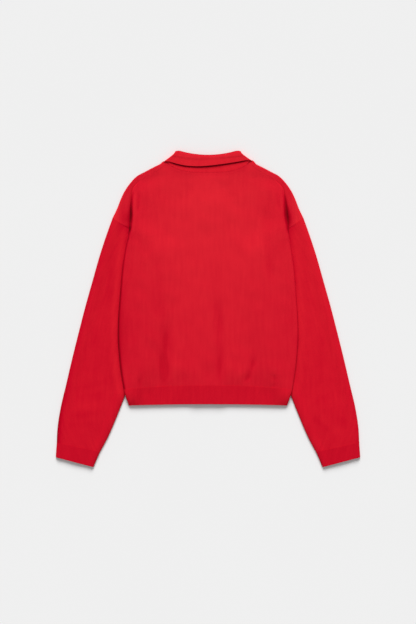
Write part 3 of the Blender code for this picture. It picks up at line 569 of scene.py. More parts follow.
def normals_of(points, quads):
    """Unit normals at the points, from the faces round them."""
    across = points[quads[:, 2]] - points[quads[:, 0]]
    other = points[quads[:, 3]] - points[quads[:, 1]]
    faces = np.cross(across, other)
    normals = np.zeros_like(points)
    for corner in range(4):
        np.add.at(normals, quads[:, corner], faces)
    return normals / np.maximum(np.linalg.norm(normals, axis=1, keepdims=True), 1e-9)


def open_edges(quads):
    """Edges with a face on one side only, in that face's order."""
    edges = np.concatenate([np.stack([quads[:, i], quads[:, (i + 1) % 4]], axis=1) for i in range(4)])
    size = quads.max() + 1
    codes, back = edges[:, 0] * size + edges[:, 1], edges[:, 1] * size + edges[:, 0]
    return edges[~np.isin(codes, back)]


def bell(distance, width):
    """1 at no distance, falling to about a third at the width."""
    return np.exp(-((distance / width) ** 2))


TUCK_SHIFT = 5.5  # how much nearer the middle the tuck and the top of the side lie on the left
TUCK_SHIFT_X, TUCK_SHIFT_Y = -191.0, 215.0
TUCK_SHIFT_WIDTH, TUCK_SHIFT_HEIGHT = 16.0, 38.0
LOWEST = 0.02  # the least height of a point over the surface
FACING_LIGHT_SHADE = 1.15  # painted shade: how much darker the colour is where the cloth faces the window
FACING_LIGHT_RAMP = (0.6, 1.0)


def shell(name, made, thickness, material, relief=0.0, rolls=None):
    """A closed shell of cloth round the surface. relief raises the outer face, and rolls is how far each
    point would bulge if it is on an edge."""
    points, quads = made.points, made.quads
    count = len(points)
    normals = normals_of(points, quads)
    edges = open_edges(quads)
    out = np.zeros_like(points)
    along = points[edges[:, 1]] - points[edges[:, 0]]
    away = np.cross(along, normals[edges[:, 0]])
    np.add.at(out, edges[:, 0], away)
    np.add.at(out, edges[:, 1], away)
    rim = np.unique(edges)
    out = out[rim] / np.linalg.norm(out[rim], axis=1, keepdims=True)
    roll = SEAM_ROLL if rolls is None else rolls[rim][:, None]
    middle = np.full(count, -1)
    middle[rim] = 2 * count + np.arange(len(rim))
    closer = np.zeros_like(points)
    closer[rim] = out * SEAM_CLOSE
    raised = (thickness / 2 + relief * np.ones(count))[:, None]
    outside, inside = points + normals * raised + closer, points - normals * thickness / 2 + closer
    every = np.concatenate([outside, inside, points[rim] + out * roll])
    every[:, 2] = np.maximum(every[:, 2], LOWEST)
    level = bell(every[:, 1] - TUCK_SHIFT_Y, TUCK_SHIFT_HEIGHT)
    every[:, 0] += TUCK_SHIFT * bell(every[:, 0] - TUCK_SHIFT_X, TUCK_SHIFT_WIDTH) * level
    a, b = edges.T
    faces = np.concatenate([
        quads,
        quads[:, ::-1] + count,
        np.stack([b, a, middle[a], middle[b]], axis=1),
        np.stack([middle[b], middle[a], a + count, b + count], axis=1),
    ])
    # Painted shade where the cloth faces the window, which tones down the sun's brightening there.
    leaning = normals @ np.array(WINDOW)
    knit = np.column_stack([made.knit, made.tone - FACING_LIGHT_SHADE * ramp(leaning, FACING_LIGHT_RAMP)])
    piece = mesh_object(name, every, faces, material, np.concatenate([knit, knit, knit[rim]]))
    ends = np.empty(len(piece.data.edges) * 2, int)
    piece.data.edges.foreach_get("vertices", ends)
    on_rim = np.tile(np.isin(np.arange(count), rim), 2)
    on_rim = np.concatenate([on_rim, np.zeros(len(rim), bool)])
    sharp = piece.data.attributes.new("sharp_edge", "BOOLEAN", "EDGE")
    sharp.data.foreach_set("value", on_rim[ends.reshape(-1, 2)].all(axis=1))
    return piece


def mesh_object(name, points, faces, material, knit=None):
    mesh = bpy.data.meshes.new(name)
    mesh.from_pydata((np.asarray(points, float) * MM).tolist(), [], np.asarray(faces).tolist())
    if knit is not None:
        place = mesh.attributes.new("knit", "FLOAT_VECTOR", "POINT")
        place.data.foreach_set("vector", knit.ravel())
    mesh.materials.append(material)
    mesh.shade_smooth()
    made = bpy.data.objects.new(name, mesh)
    bpy.context.scene.collection.objects.link(made)
    return made


def crease_depth(creases, x, y):
    """How far the creases lower the points."""
    total = np.zeros_like(x)
    for crease in creases:
        start = np.array([crease.start_x, crease.start_y])
        line = np.array([crease.end_x, crease.end_y]) - start
        length = np.hypot(*line)
        unit = line / length
        run = ((x - start[0]) * unit[0] + (y - start[1]) * unit[1]) / length
        side = -(x - start[0]) * unit[1] + (y - start[1]) * unit[0]
        side = side - crease.bend * 4 * run * (1 - run)
        ends = within(run, CREASE_REACH)
        swell = 1 + CREASE_UNEVEN * np.sin(run * CREASE_SWELLS + crease.start_x)
        total += crease.depth * ends * swell * bell(side, crease.width)
    return total


def unevenness(x, y, seed, height):
    """Low uneven waves, as cloth that was smoothed by hand has."""
    random = np.random.default_rng(seed)
    total = np.zeros_like(x)
    for _ in range(WAVES):
        length = LONGEST_WAVE * lerp(SHORTEST_SHARE, 1, random.random())
        turn = random.random() * 2 * math.pi
        phase = random.random() * 2 * math.pi
        total += np.sin((x * math.cos(turn) + y * math.sin(turn)) * 2 * math.pi / length + phase)
    return total * height / math.sqrt(WAVES)


# What differs between the sides of the back, the dropped shoulders and the hem. bump is the shoulder seam's
# end. aside, arm, tuck, hollow and near are painted shade, and hem_corner is painted light at the hem's
# corners.
SideLook = namedtuple(
    "SideLook",
    "bump aside arm tuck_at tuck_width tuck_top hollow_full hollow_end near near_fade hem_corner",
)
LEFT = SideLook(3.4, 0.42, 0.85, -1.5, 3.8, 0.16, 16.0, 34.0, 0.5, 6.0, 0.12)
RIGHT = SideLook(6.0, 0.25, 0.95, -3.4, 6.4, 0.42, 11.0, 24.0, 0.75, 8.0, 0.42)


def of_side(x, name):
    """The value in LEFT or RIGHT for each of the points."""
    return np.where(x < 0, getattr(LEFT, name), getattr(RIGHT, name))


# Stretches up the garment, as the two ramps that bound them.
TUCK_REACH = ((180.0, 196.0), (315.0, 245.0))
ROLL_REACH = ((-225.0, -200.0), (208.0, 196.0))  # where the body's rolled side is painted darker
GROOVE_REACH = ((-225.0, -200.0), (205.0, 185.0))  # the sleeve beside it, with its painted groove shade and lighter band
SHADE_REACH = ((10.0, 90.0), (205.0, 165.0))  # the painted shade down the right sleeve beside the body


BUMP_X, BUMP_WIDTH, BUMP_RAMP = 109.5, 5.4, (335.0, 355.0)


def shoulder_bump(x, y):
    """How far the shoulder seam's end stands out beside the collar's leaf."""
    return of_side(x, "bump") * bell(np.abs(x) - BUMP_X, BUMP_WIDTH) * ramp(y, BUMP_RAMP)


def moved(made, axis, distance):
    points = made.points.copy()
    points[:, axis] += distance
    return made._replace(points=points)


def with_bump(made):
    return moved(made, 1, shoulder_bump(*made.points[:, :2].T))


def lowered(made, depth):
    return moved(made, 2, -depth)


HEM_PUFF = 1.2  # how much fuller the back is at the hem, beside the zip
HEM_DIP = 0.7  # and how much flatter over it
PUFF_INNER, PUFF_OUTER = (10.0, 40.0), (194.0, 154.0)  # across the back
PUFF_DOWN = (-95.0, -185.0)


def hem_puff(x, y):
    """How much fuller the back is at the hem on each side of the zip, and flatter over it."""
    beside_zip = ramp(np.abs(x), PUFF_INNER)
    puff = HEM_PUFF * beside_zip * ramp(np.abs(x), PUFF_OUTER) - HEM_DIP * (1 - beside_zip)
    return puff * ramp(y, PUFF_DOWN)


def back_grid():
    rows = [shifted_along(back_lower_row(HEM_BOTTOM_ROW), SEAM / 2)]
    rows += [back_lower_row(y) for y in BODY_Y]
    rows += [shifted_along(back_upper_row(0), SEAM / 2)]
    rows += [back_upper_row(i) for i in range(1, len(UPPER) - 1)]
    rows += [shifted_along(back_upper_row(len(UPPER) - 1), -SEAM / 2)]
    return on_side(with_knit(rows, len(rows[-1])), None)


SHOULDER_SLOPE = 1.09  # of the stand's seam, beyond the neck's corner


def neck_line(x):
    """The back's neck edge, and beyond it the line on which the stand goes on round the shoulder."""
    edge, beyond = UPPER[-1], np.maximum(np.abs(x) - UPPER[-1].crease_x, 0)
    rise = np.minimum(np.abs(x) / edge.crease_x, 1) ** NECK_POWER
    return lerp(edge.back_y, edge.crease_y, rise) + SHOULDER_SLOPE * beyond


ARMPIT_Y = 222.0
ABOVE_ARMPIT, BELOW_ARMPIT = 46.0, 40.0  # how far the painted shade of the arm's hollow reaches, up and down
ARM_HOLLOW_SHADE = 0.9


def arm_hollow_shade(x, y, beside):
    """How much painted shade darkens the arm beside the tuck and the body's side, on dropped shoulder and
    sleeve.
    """
    beside = np.maximum(beside, 0)
    strength = bell(y - ARMPIT_Y, np.where(y > ARMPIT_Y, ABOVE_ARMPIT, BELOW_ARMPIT))
    near = of_side(x, "near") * np.exp(-beside / of_side(x, "near_fade"))
    broad = 1 - ramp(beside, (of_side(x, "hollow_full"), of_side(x, "hollow_end")))
    return strength * (ARM_HOLLOW_SHADE * broad + near)


# A line in the painted tone: how far its middle is from an edge, its width, and how much it changes the tone.
Line = namedtuple("Line", "at width amount")
NECK_SEAM = Line(0.0, 2.0, 0.2)
NECK_STITCHES = Line(7.0, 1.6, 0.15)
# The tuck's painted shade.
TUCK_DEEPEST = Line(231.0, 26.0, 0.45)  # in height
TUCK_BEND = Line(266.0, 20.0, 1.0)  # in height
TUCK_BEND_LINE = Line(2.2, 4.0, 1.0)
TUCK_RIDGE_HIGHLIGHT = Line(-8.0, 5.0, 0.4)  # painted highlight beside the tuck
# Painted shade along the body's rolled sides.
LEFT_ROLL_SHADE = Line(1.5, 2.2, 0.58)
RIGHT_ROLL_SHADE = Line(1.0, 1.7, 0.5)
TUCK_LEAST = 0.4  # painted shade of the tuck away from its deepest place
TUCK_SHADE = 1.35
LEFT_ROLL_HALO = (0.25, 9.0)  # painted shade beside the left rolled side: amount, and the distance at which it has faded
NECK_SHADE = (0.45, 20.0)
RIGHT_ROLL_RAMP = (-270.0, -10.0)
NECK_SHADE_RAMP = (112.0, 92.0)
BRIGHTEST_Y, DOWN_DARKER = 250.0, 0.0019  # painted light: the tone falls by this for each millimetre below
# Painted shade in the creases, for each millimetre of their depth.
CREASE_SHADE, HEM_CREASE_SHADE, SLEEVE_CREASE_SHADE = 0.3, 0.12, 0.2
CREASE_SHADE_LIMIT = -0.12  # the creases' painted shade darkens nothing below this tone
LEVEL_FADE, LEVEL_RAMP = 12.0, (97.0, 85.0)
ASIDE_X = 190.0  # painted shade towards the sides: where the tone has fallen by its full amount
ASIDE_RAMP = (-230.0, -30.0)
# More painted shade towards the sides, high on the back.
HIGH_ASIDE, HIGH_ASIDE_RAMP = 0.55, (130.0, 260.0)
ARM_RAMP = (-1.0, 2.0)  # past the tuck's fold


def line_in(distance, line):
    return line.amount * bell(distance - line.at, line.width)


def fading(distance, shade):
    return shade[0] * np.exp(-distance / shade[1])


def back_painted_tone(x, y, below):
    """Painted light and shade on the back: lightest high in the middle, darker downwards and towards the
    sides, with painted shade in the creases, the tucks, along the rolled sides and below the collar.
    """
    past_fold = np.abs(x) - np.interp(y, column(UPPER, "crease_y"), column(UPPER, "crease_x"))
    reach = within(y, TUCK_REACH)
    deepest = TUCK_LEAST * reach + line_in(y, TUCK_DEEPEST)
    tuck = deepest * bell(past_fold - of_side(x, "tuck_at"), of_side(x, "tuck_width"))
    tuck += of_side(x, "tuck_top") * line_in(y, TUCK_BEND) * line_in(past_fold, TUCK_BEND_LINE)
    margin = side_line(y) - np.abs(x)
    left = line_in(margin, LEFT_ROLL_SHADE) + fading(margin, LEFT_ROLL_HALO)
    right = line_in(margin, RIGHT_ROLL_SHADE) * ramp(y, RIGHT_ROLL_RAMP)
    rolled = within(y, ROLL_REACH) * np.where(x < 0, left, right)
    # Darker along the neck seam and its stitches, and painted shade below the collar.
    seam = line_in(below, NECK_SEAM) + line_in(below, NECK_STITCHES) + fading(below, NECK_SHADE)
    seam *= ramp(np.abs(x), NECK_SHADE_RAMP)
    aside = of_side(x, "aside") * ramp(y, ASIDE_RAMP) + HIGH_ASIDE * ramp(y, HIGH_ASIDE_RAMP)
    tone = 1.0 - DOWN_DARKER * np.maximum(BRIGHTEST_Y - y, 0) - aside * (x / ASIDE_X) ** 2
    arm = of_side(x, "arm") - arm_hollow_shade(x, y, past_fold)
    tone = lerp(tone, arm, reach * ramp(past_fold, ARM_RAMP))
    creased = tone - CREASE_SHADE * crease_depth(BACK_CREASES, x, y)
    tone = np.maximum(creased, np.minimum(tone, CREASE_SHADE_LIMIT))
    return tone + reach * line_in(past_fold, TUCK_RIDGE_HIGHLIGHT) - TUCK_SHADE * tuck - rolled - seam


SIDE_RAMP = (4.0, 29.0)  # distances from the body's side over which the creases grow
LEAST_AIR = 0.6  # what a crease leaves between the layers
LEAST_DEPTH = 0.2
BACK_SEED = 4


def make_back(knit):
    made = surface([refined(back_grid(), PANEL_STEP, PANEL_STEP)])
    x, y, z = made.points.T
    room = np.array([back_low(abs(a), b) - front_low(abs(a), b) - CLOTH for a, b in zip(x, y)])
    inside = ramp(side_line(y, SLIT_LIP_Y) - np.abs(x), SIDE_RAMP)
    depth = crease_depth(BACK_CREASES, x, y) + unevenness(x, y, BACK_SEED, BACK_UNEVEN)
    depth = np.minimum(depth, np.maximum(room - LEAST_AIR, LEAST_DEPTH)) * inside
    depth -= hem_puff(x, y)
    # The neck's edge lies level with the stand that is linked on to it.
    below = neck_line(x) - y
    level = bell(below, LEVEL_FADE) * ramp(np.abs(x), LEVEL_RAMP)
    depth = lerp(depth, z - COLLAR_SEAM.z_back, level)
    # The back's painted light and shade go into its painted tone.
    made = lowered(made, depth)._replace(tone=back_painted_tone(x, y, below))
    return shell("back_panel", with_bump(made), CLOTH, knit)


FRONT_INNER = 4  # spans from the zip to the foot of the slope up to the sleeve
FRONT_OUTER = 5  # spans from there to the flat's end
SLOPE_WIDTH = 16.0
SLOPE_AT = 0.15  # the slope follows the sleeve's edge at this share of the row's rise
SLOPE_CLEAR = 2.0  # its top is this far inside the sleeve's edge
SLOPE_END = 6.0  # and at least this far inside the flat's end
FOOT_SETTLE = 4  # rows above the armhole over which the foot moves to the middle


def front_columns(flat_x, foot_x, top_x):
    inner = [lerp(ZIP_EDGE, foot_x, i / FRONT_INNER) for i in range(FRONT_INNER + 1)]
    return inner + [lerp(top_x, flat_x, i / (FRONT_OUTER - 1)) for i in range(FRONT_OUTER - 1)]


def slope_columns(edge_y, inner_y, flat_x):
    top_x = min(inner_x(-lerp(inner_y, edge_y, SLOPE_AT)) - SLOPE_CLEAR, flat_x - SLOPE_END)
    return top_x - SLOPE_WIDTH, top_x


def front_row_inner_y(edge_y):
    share = (edge_y - HEM_BOTTOM_ROW) / (SLIT_LIP_Y - HEM_BOTTOM_ROW)
    return edge_y - (SLIT_LIP_Y - SLIT_TIP_Y) * max(0.0, share)


def front_lower_row(edge_y):
    edge_x = side_x(edge_y)
    flat_x = edge_x - NEST / 2
    inner_y = front_row_inner_y(edge_y)
    foot_x, top_x = slope_columns(edge_y, inner_y, flat_x)
    drop = row_drop(edge_y)
    cells = []
    for x in front_columns(flat_x, foot_x, top_x):
        y = lerp(inner_y, edge_y, max(0.0, (x - foot_x) / (flat_x - foot_x)))
        y += hem_line(x, edge_x, drop, drop)
        cells.append(Vector((x, y, front_low(x, y) + CLOTH / 2)))
    middle = front_low(edge_x, edge_y) + NEST / 2
    return cells + edge_arc(edge_x, edge_y, (1, 0), middle, NEST, CLOTH, -1)


def front_upper_row(index):
    row = UPPER[index]
    arc = upper_arc(index, -1)
    flat = arc[0]
    root_foot, _ = slope_columns(SLIT_LIP_Y, SLIT_TIP_Y, side_x(SLIT_LIP_Y))
    foot_x = lerp(root_foot, flat.x * 0.5, smooth(index / FOOT_SETTLE))
    share_up = index / (len(UPPER) - 1)
    cells = []
    for x in front_columns(flat.x, foot_x, lerp(foot_x, flat.x, 1 / FRONT_OUTER)):
        kinked = max(0.0, (x - foot_x) / (flat.x - foot_x))
        bent = ((x - ZIP_EDGE) / (flat.x - ZIP_EDGE)) ** FRONT_NECK_POWER
        y = lerp(row.front_y, flat.y, lerp(kinked, bent, share_up))
        cells.append(Vector((x, y, front_floor(x, y) + CLOTH / 2)))
    return cells + arc


def make_front(side, knit):
    lower = [front_lower_row(y) for y in (HEM_BOTTOM_ROW, *BODY_Y)]
    lower[0] = shifted_along(lower[0], SEAM / 2)
    upper = [front_upper_row(i) for i in range(len(UPPER))]
    shared = FRONT_INNER + 1
    upper[0] = lower[-1][:shared] + shifted_along(upper[0][shared:], SEAM / 2)
    upper[-1] = shifted_along(upper[-1], -SEAM / 2)
    # Both grids get the same columns, so that they weld along the row that they share up to the slit.
    whole = with_knit(lower + upper)
    across = refined_first(whole.swapaxes(0, 1), HIDDEN_STEP).swapaxes(0, 1)
    joined = int(np.argmin(np.abs(across[len(lower) - 1, :, 0] - whole[len(lower) - 1, shared - 1, 0])))
    across[len(lower), : joined + 1] = across[len(lower) - 1, : joined + 1]
    parts = (across[: len(lower)], across[len(lower) :])
    grids = [on_side(refined_first(part, HIDDEN_STEP), side) for part in parts]
    made = with_bump(surface(grids, downwards=True))
    return shell(f"front_panel_{side}", made, CLOTH, knit)


HEM_ROWS = 4


def hem_row(share, up):
    edge_y = lerp(HEM_BOTTOM_ROW, HEM_Y - HEM_DROP, share)
    drop = lerp(HEM_SEAM_DROP, HEM_DROP, share)
    edge_x = side_x(edge_y)
    flat_x = edge_x - RIB_NEST / 2
    floor = front_low(edge_x, edge_y)
    if up < 0:
        columns = front_columns(flat_x, *slope_columns(edge_y, edge_y, flat_x))
    else:
        columns = [flat_x * part for part in TORSO_SHARES]
    cells = []
    for x in columns:
        y = hem_line(x, edge_x, edge_y + drop, drop)
        low = front_low(x, y)
        if up > 0:
            inner = max(back_low(x, y), low + RIB + RIB_AIR)
            low = lerp(floor + RIB_NEST - RIB, inner, smooth((flat_x - x) / EDGE_SPREAD))
        cells.append(Vector((x, y, low + RIB / 2)))
    return cells + edge_arc(edge_x, edge_y, (1, 0), floor + RIB_NEST / 2, RIB_NEST, RIB, up)


def ribbed(made):
    """Relief of the ribs, which run along the wales."""
    return RIB_RELIEF * np.cos(made.knit[:, 0] * 2 * math.pi / RIB_PITCH)


HEM_TONE = 0.5
# Painted light at the hem's corners grows over this reach.
HEM_CORNER_RAMP = (150.0, 188.0)
# The hem gets the painted shade of the back's creases as they are this far above it, but no higher than at
# HEM_CREASE_TOP.
HEM_CREASE_UP, HEM_CREASE_TOP = 22.0, -150.0
HEM_ROLL_RAMP = (-226.0, -216.0)  # from the hem's free edge to the seam's roll


def make_hem(name, side, rib):
    up = 1 if side is None else -1
    rows = [hem_row(1 - i / (HEM_ROWS - 1), up) for i in range(HEM_ROWS)]
    rows[-1] = shifted_along(rows[-1], -SEAM / 2)
    grid = on_side(with_knit(rows), side)
    made = surface([refined(grid, RIB_LENGTH_STEP, RIB_STEP)], downwards=up < 0)
    if side is None:
        x, y = made.points[:, :2].T
        above = np.minimum(y + HEM_CREASE_UP, HEM_CREASE_TOP)
        # Painted shade in the creases, and painted light at the corners.
        tone = HEM_TONE - HEM_CREASE_SHADE * crease_depth(BACK_CREASES, x, above)
        tone += of_side(x, "hem_corner") * ramp(np.abs(x), HEM_CORNER_RAMP)
        made = lowered(made, -hem_puff(x, y))._replace(tone=tone)
    rolls = lerp(HEM_ROLL, SEAM_ROLL, ramp(made.points[:, 1], HEM_ROLL_RAMP))
    return shell(name, made, RIB, rib, ribbed(made), rolls)


RING_SPANS = 5  # spans across each layer of a sleeve


def sleeve_ring(key, cloth, shift):
    """One ring of a sleeve, as a flattened loop that starts under its inner edge."""
    row = SleeveRow(*[sleeve_at[name](key) for name in SleeveRow._fields])
    outer, inner = Vector((row.outer_x, row.outer_y, 0)), Vector((row.inner_x, row.inner_y, 0))
    across = (inner - outer).normalized()
    along = Vector((-across.y, across.x, 0))
    outer, inner = outer + along * shift, inner + along * shift
    radius = (NEST - CLOTH) / 2
    middle = cloth / 2 + radius  # the height of the ends' middles, and how far in from the edges they lie
    start, end = outer + across * middle, inner - across * middle
    shares = [i / RING_SPANS for i in range(1, RING_SPANS)]
    turns = [math.radians(turn) for turn in range(-90, 91, 45)]
    ends = [
        [centre + out * radius * math.cos(t) + UP * (middle + radius * math.sin(t)) for t in turns]
        for centre, out in ((start, -across), (end, across))
    ]
    heights = [middle + radius + row.crown * math.sin(math.pi * s) for s in shares]
    top = [start.lerp(end, s) + UP * height for s, height in zip(shares, heights)]
    bottom = [end.lerp(start, s) + UP * (middle - radius) for s in shares]
    return [ends[1][0], *bottom, *ends[0], *top, *ends[1][::-1]]


def tube_grid(keys, cloth):
    """Rows are rings, from the armhole down. The knit's wales run along the tube."""
    shifts = [SEAM / 2] + [0.0] * (len(keys) - 2) + [-SEAM / 2]
    rings = np.array([[tuple(p) for p in sleeve_ring(key, cloth, s)] for key, s in zip(keys, shifts)])
    grid = np.zeros((*rings.shape[:2], 5))
    grid[..., :3] = rings
    around = np.linalg.norm(np.diff(rings, axis=1), axis=-1)
    grid[:, 1:, 3] = np.cumsum(around, axis=1)
    centres = rings.mean(axis=1)
    along = np.linalg.norm(np.diff(centres, axis=0), axis=-1)
    grid[1:, :, 4] = np.cumsum(along)[:, None]
    return grid


SLEEVE_STATIONS = [0, 0.6, 1.3, 2, 3, 4, 5, 6, 7, 8, CUFF_ROW]
CUFF_STATIONS = [CUFF_ROW, CUFF_ROW + 0.35, CUFF_ROW + 1]

# What differs between the sleeves: the creases, the seed of the unevenness, and the parts of the painted
# light and shade.
SleeveLook = namedtuple("SleeveLook", "creases seed tone high band edge edge_low edge_width shade top")
LEFT_SLEEVE = SleeveLook(LEFT_CREASES, 11, 0.42, 0.15, 0.4, 0.55, 0.45, 10.0, 0.0, 0.25)
RIGHT_SLEEVE = SleeveLook(RIGHT_CREASES, 12, 0.48, 0.42, 0.2, 0.1, 0.3, 7.0, 0.45, 0.0)
# Painted shade of the groove beside the body's edge, a painted lighter band beyond it, and painted shade down
# the right sleeve.
GROOVE_SHADE = Line(0.0, 2.0, 0.4)
BAND_AT, BAND_WIDTH, SHADE_WIDTH = 12.0, 6.0, 11.0
# Where each part of the painted tone grows, up or down the sleeve.
HIGH_RAMP, LOW_RAMP, TOP_RAMP = (-300.0, 220.0), (-60.0, -340.0), (150.0, 220.0)
SLEEVE_RAISED = 0.5  # how much higher a sleeve's upper layer lies where it has no creases
SLEEVE_SINKS = 0.7  # and how much lower, at most, where it has
UPPER_RAMP = (0.2, 0.8)  # the upper layer is where the normals lean up
BESIDE_BODY, BELOW_BODY = (1.0, 13.0), (-215.0, -240.0)
ABOVE_CUFF, BELOW_ROOT = (-340.0, -318.0), (0.0, 30.0)


def sleeve_clear(x, y):
    """Where a sleeve sinks: the tucked stretch stays flat, and so do the seams with the cuff and the body."""
    beside = ramp(np.abs(x) - side_line(y, SLIT_LIP_Y), BESIDE_BODY)
    below_root = ramp(root_y(np.abs(x)) - y, BELOW_ROOT)
    return np.maximum(beside, ramp(y, BELOW_BODY)) * ramp(y, ABOVE_CUFF) * below_root


def sleeve_painted_tone(look, x, y):
    """Painted light and shade on a sleeve: darker at its outer edge, painted shade in a groove beside the
    body's edge, then a painted lighter band, with painted shade in its creases and the arm's hollow.
    """
    beside = np.abs(x) - side_line(y)
    to_edge = np.interp(-y, [-row.outer_y for row in SLEEVE], column(SLEEVE, "outer_x")) - np.abs(x)
    tone = look.tone + look.high * ramp(y, HIGH_RAMP) + look.top * ramp(y, TOP_RAMP)
    band = look.band * bell(beside - BAND_AT, BAND_WIDTH)
    tone += (band - line_in(beside, GROOVE_SHADE)) * within(y, GROOVE_REACH)
    tone -= (look.edge + look.edge_low * ramp(y, LOW_RAMP)) * bell(to_edge, look.edge_width)
    tone -= look.shade * bell(beside, SHADE_WIDTH) * within(y, SHADE_REACH)
    return tone - SLEEVE_CREASE_SHADE * crease_depth(look.creases, x, y) - arm_hollow_shade(x, y, beside)


def tube(side, stations, cloth, length_step, girth_step):
    grid = refined(tube_grid(stations, cloth), length_step, girth_step, closed=True)
    if side == "left":
        grid = grid * np.array([-1, 1, 1, 1, 1])
    return surface([grid], downwards=side == "right")


def make_sleeve(side, knit):
    look = LEFT_SLEEVE if side == "left" else RIGHT_SLEEVE
    made = tube(side, SLEEVE_STATIONS, CLOTH, PANEL_STEP, PANEL_STEP)
    x, y = made.points[:, :2].T
    upper = ramp(normals_of(made.points, made.quads)[:, 2], UPPER_RAMP)
    depth = crease_depth(look.creases, x, y) + unevenness(x, y, look.seed, SLEEVE_UNEVEN) - SLEEVE_RAISED
    made = lowered(made, np.minimum(depth, SLEEVE_SINKS) * upper * sleeve_clear(x, y))
    return shell(f"sleeve_panel_{side}", made._replace(tone=sleeve_painted_tone(look, x, y)), CLOTH, knit)


CUFF_TONE = 0.2
CUFF_ROLL_RAMP = (0.0, 10.0)


def make_cuff(side, rib):
    made = tube(side, CUFF_STATIONS, RIB, RIB_LENGTH_STEP, RIB_STEP)
    last = made.knit[:, 1].max()
    rolls = lerp(HEM_ROLL, SEAM_ROLL, ramp(last - made.knit[:, 1], CUFF_ROLL_RAMP))
    made = made._replace(tone=np.full(len(made.points), CUFF_TONE))
    return shell(f"cuff_rib_{side}", made, RIB, rib, ribbed(made), rolls)


# One ring of the collar. power shapes its line across the back, and corner rounds its ends.
CollarRing = namedtuple("CollarRing", "half_width y_back y_side y_end x_end z_back z_front corner power")
COLLAR_SEAM = CollarRing(103.0, BACK_NECK_Y + SEAM / 2, 362.0, 261.4, 5.0, 7.2, 3.7, 0.0, NECK_POWER)
STAND_MIDDLE = CollarRing(87.0, 353.8, 371.0, 275.2, 5.0, 6.9, 3.7, 1.0, 2.7)
STAND_TOP = CollarRing(77.6, 373.8, 387.5, 289.0, 5.0, 6.9, 3.7, 4.0, 2.0)
LEAF_TOP = CollarRing(80.0, 373.8, 387.5, 289.0, 5.5, 10.7, 1.1, 4.0, 2.0)
LEAF_MIDDLE = CollarRing(93.5, 362.0, 372.5, 257.0, 14.7, 10.15, 1.05, 2.0, 2.1)
LEAF_EDGE = CollarRing(107.5, 350.2, 366.5, 225.0, 24.0, 9.7, 1.0, 5.7, 2.2)
FOLD_RADIUS = CollarRing(0.0, 2.1, 1.3, 1.3, 0.0, 0.0, 0.0, 0.0, 0.0)  # the fold's rise above stand and leaf
FOLD_TURNS = (36, 72, 108, 144)  # degrees round the fold, from the stand to the leaf
LEAF_TILT = 3.2  # the leaf's edge is up to this much higher on the right, and lower on the left
TILT_TURN = 2.9  # radians of the sine by which the tilt grows and fades across each half
TILT_START = 7  # the ring from which the tilt grows
CORNER_START = 0.84  # share of the width at which the rounding starts
SQUARENESS = 18  # how square the flattened collar is at its sides
# Shares of the collar's width at which it is cut, closest where it turns from back to front.
COLLAR_TURN = [0.945, 0.96, 0.972, 0.982, 0.989, 0.994, 0.9975, 0.9993, 1.0]
COLLAR_EVEN, COLLAR_COLUMNS = 0.93, 38  # up to this share it is cut evenly, in so many columns
COLLAR_SHARES = [*np.linspace(0, COLLAR_EVEN, COLLAR_COLUMNS + 1), *COLLAR_TURN]
FOLD_TOP = 11.0  # height of the middle of the cloth along the top of the fold
LEAF_LIFT = 0.6  # how far the middle of the leaf's edge at the back stands off the stand
LIFT_RAMP = (98.0, 48.0)
LEAF_WAVE, WAVE_SPREAD, WAVE_RAMP = 0.35, 17.0, (96.0, 66.0)  # the edge's faint waves
LEAF_LOWEST = 8.5  # the height over which a point is on the back's leaf
BACK_LOWEST = 5.5  # and over which it is on the back's leaf or stand
# The stand below the leaf is painted darker, as in the leaf's shade.
STAND_SHADE_TONE, LEAF_TONE = 0.3, 0.5
# The leaf's painted shadow on the stand, faded towards its ends.
LEAF_GAP_SHADOW, GAP_RAMP = Line(1.6, 1.9, 1.35), (104.0, 82.0)
SEAM_LINE = Line(0.0, 2.0, 0.15)


def collar_rings():
    rings = [COLLAR_SEAM, STAND_MIDDLE, STAND_TOP]
    for turn in np.radians(FOLD_TURNS):
        share, rise = (1 - math.cos(turn)) / 2, math.sin(turn)
        sizes = [lerp(a, b, share) + r * rise for a, b, r in zip(STAND_TOP, LEAF_TOP, FOLD_RADIUS)]
        rings.append(CollarRing(*sizes))
    return rings + [LEAF_TOP, LEAF_MIDDLE, LEAF_EDGE]


def collar_point(ring, share, front, tilt):
    middle_z = (ring.z_back + ring.z_front) / 2
    flatness = (1 - share**SQUARENESS) ** (1 / SQUARENESS)
    rounded = ring.corner * (max(0.0, share - CORNER_START) / (1 - CORNER_START)) ** 2
    shift = tilt * math.sin(share * TILT_TURN) - rounded
    if front:
        x = lerp(ring.x_end, ring.half_width, share)
        y = lerp(ring.y_end, ring.y_side, share**FRONT_NECK_POWER)
        return (x, y + shift, lerp(middle_z, ring.z_front, flatness))
    x = ring.half_width * share
    y = neck_line(x) + SEAM if ring is COLLAR_SEAM else lerp(ring.y_back, ring.y_side, share**ring.power)
    return (x, y + shift, lerp(middle_z, ring.z_back, flatness))


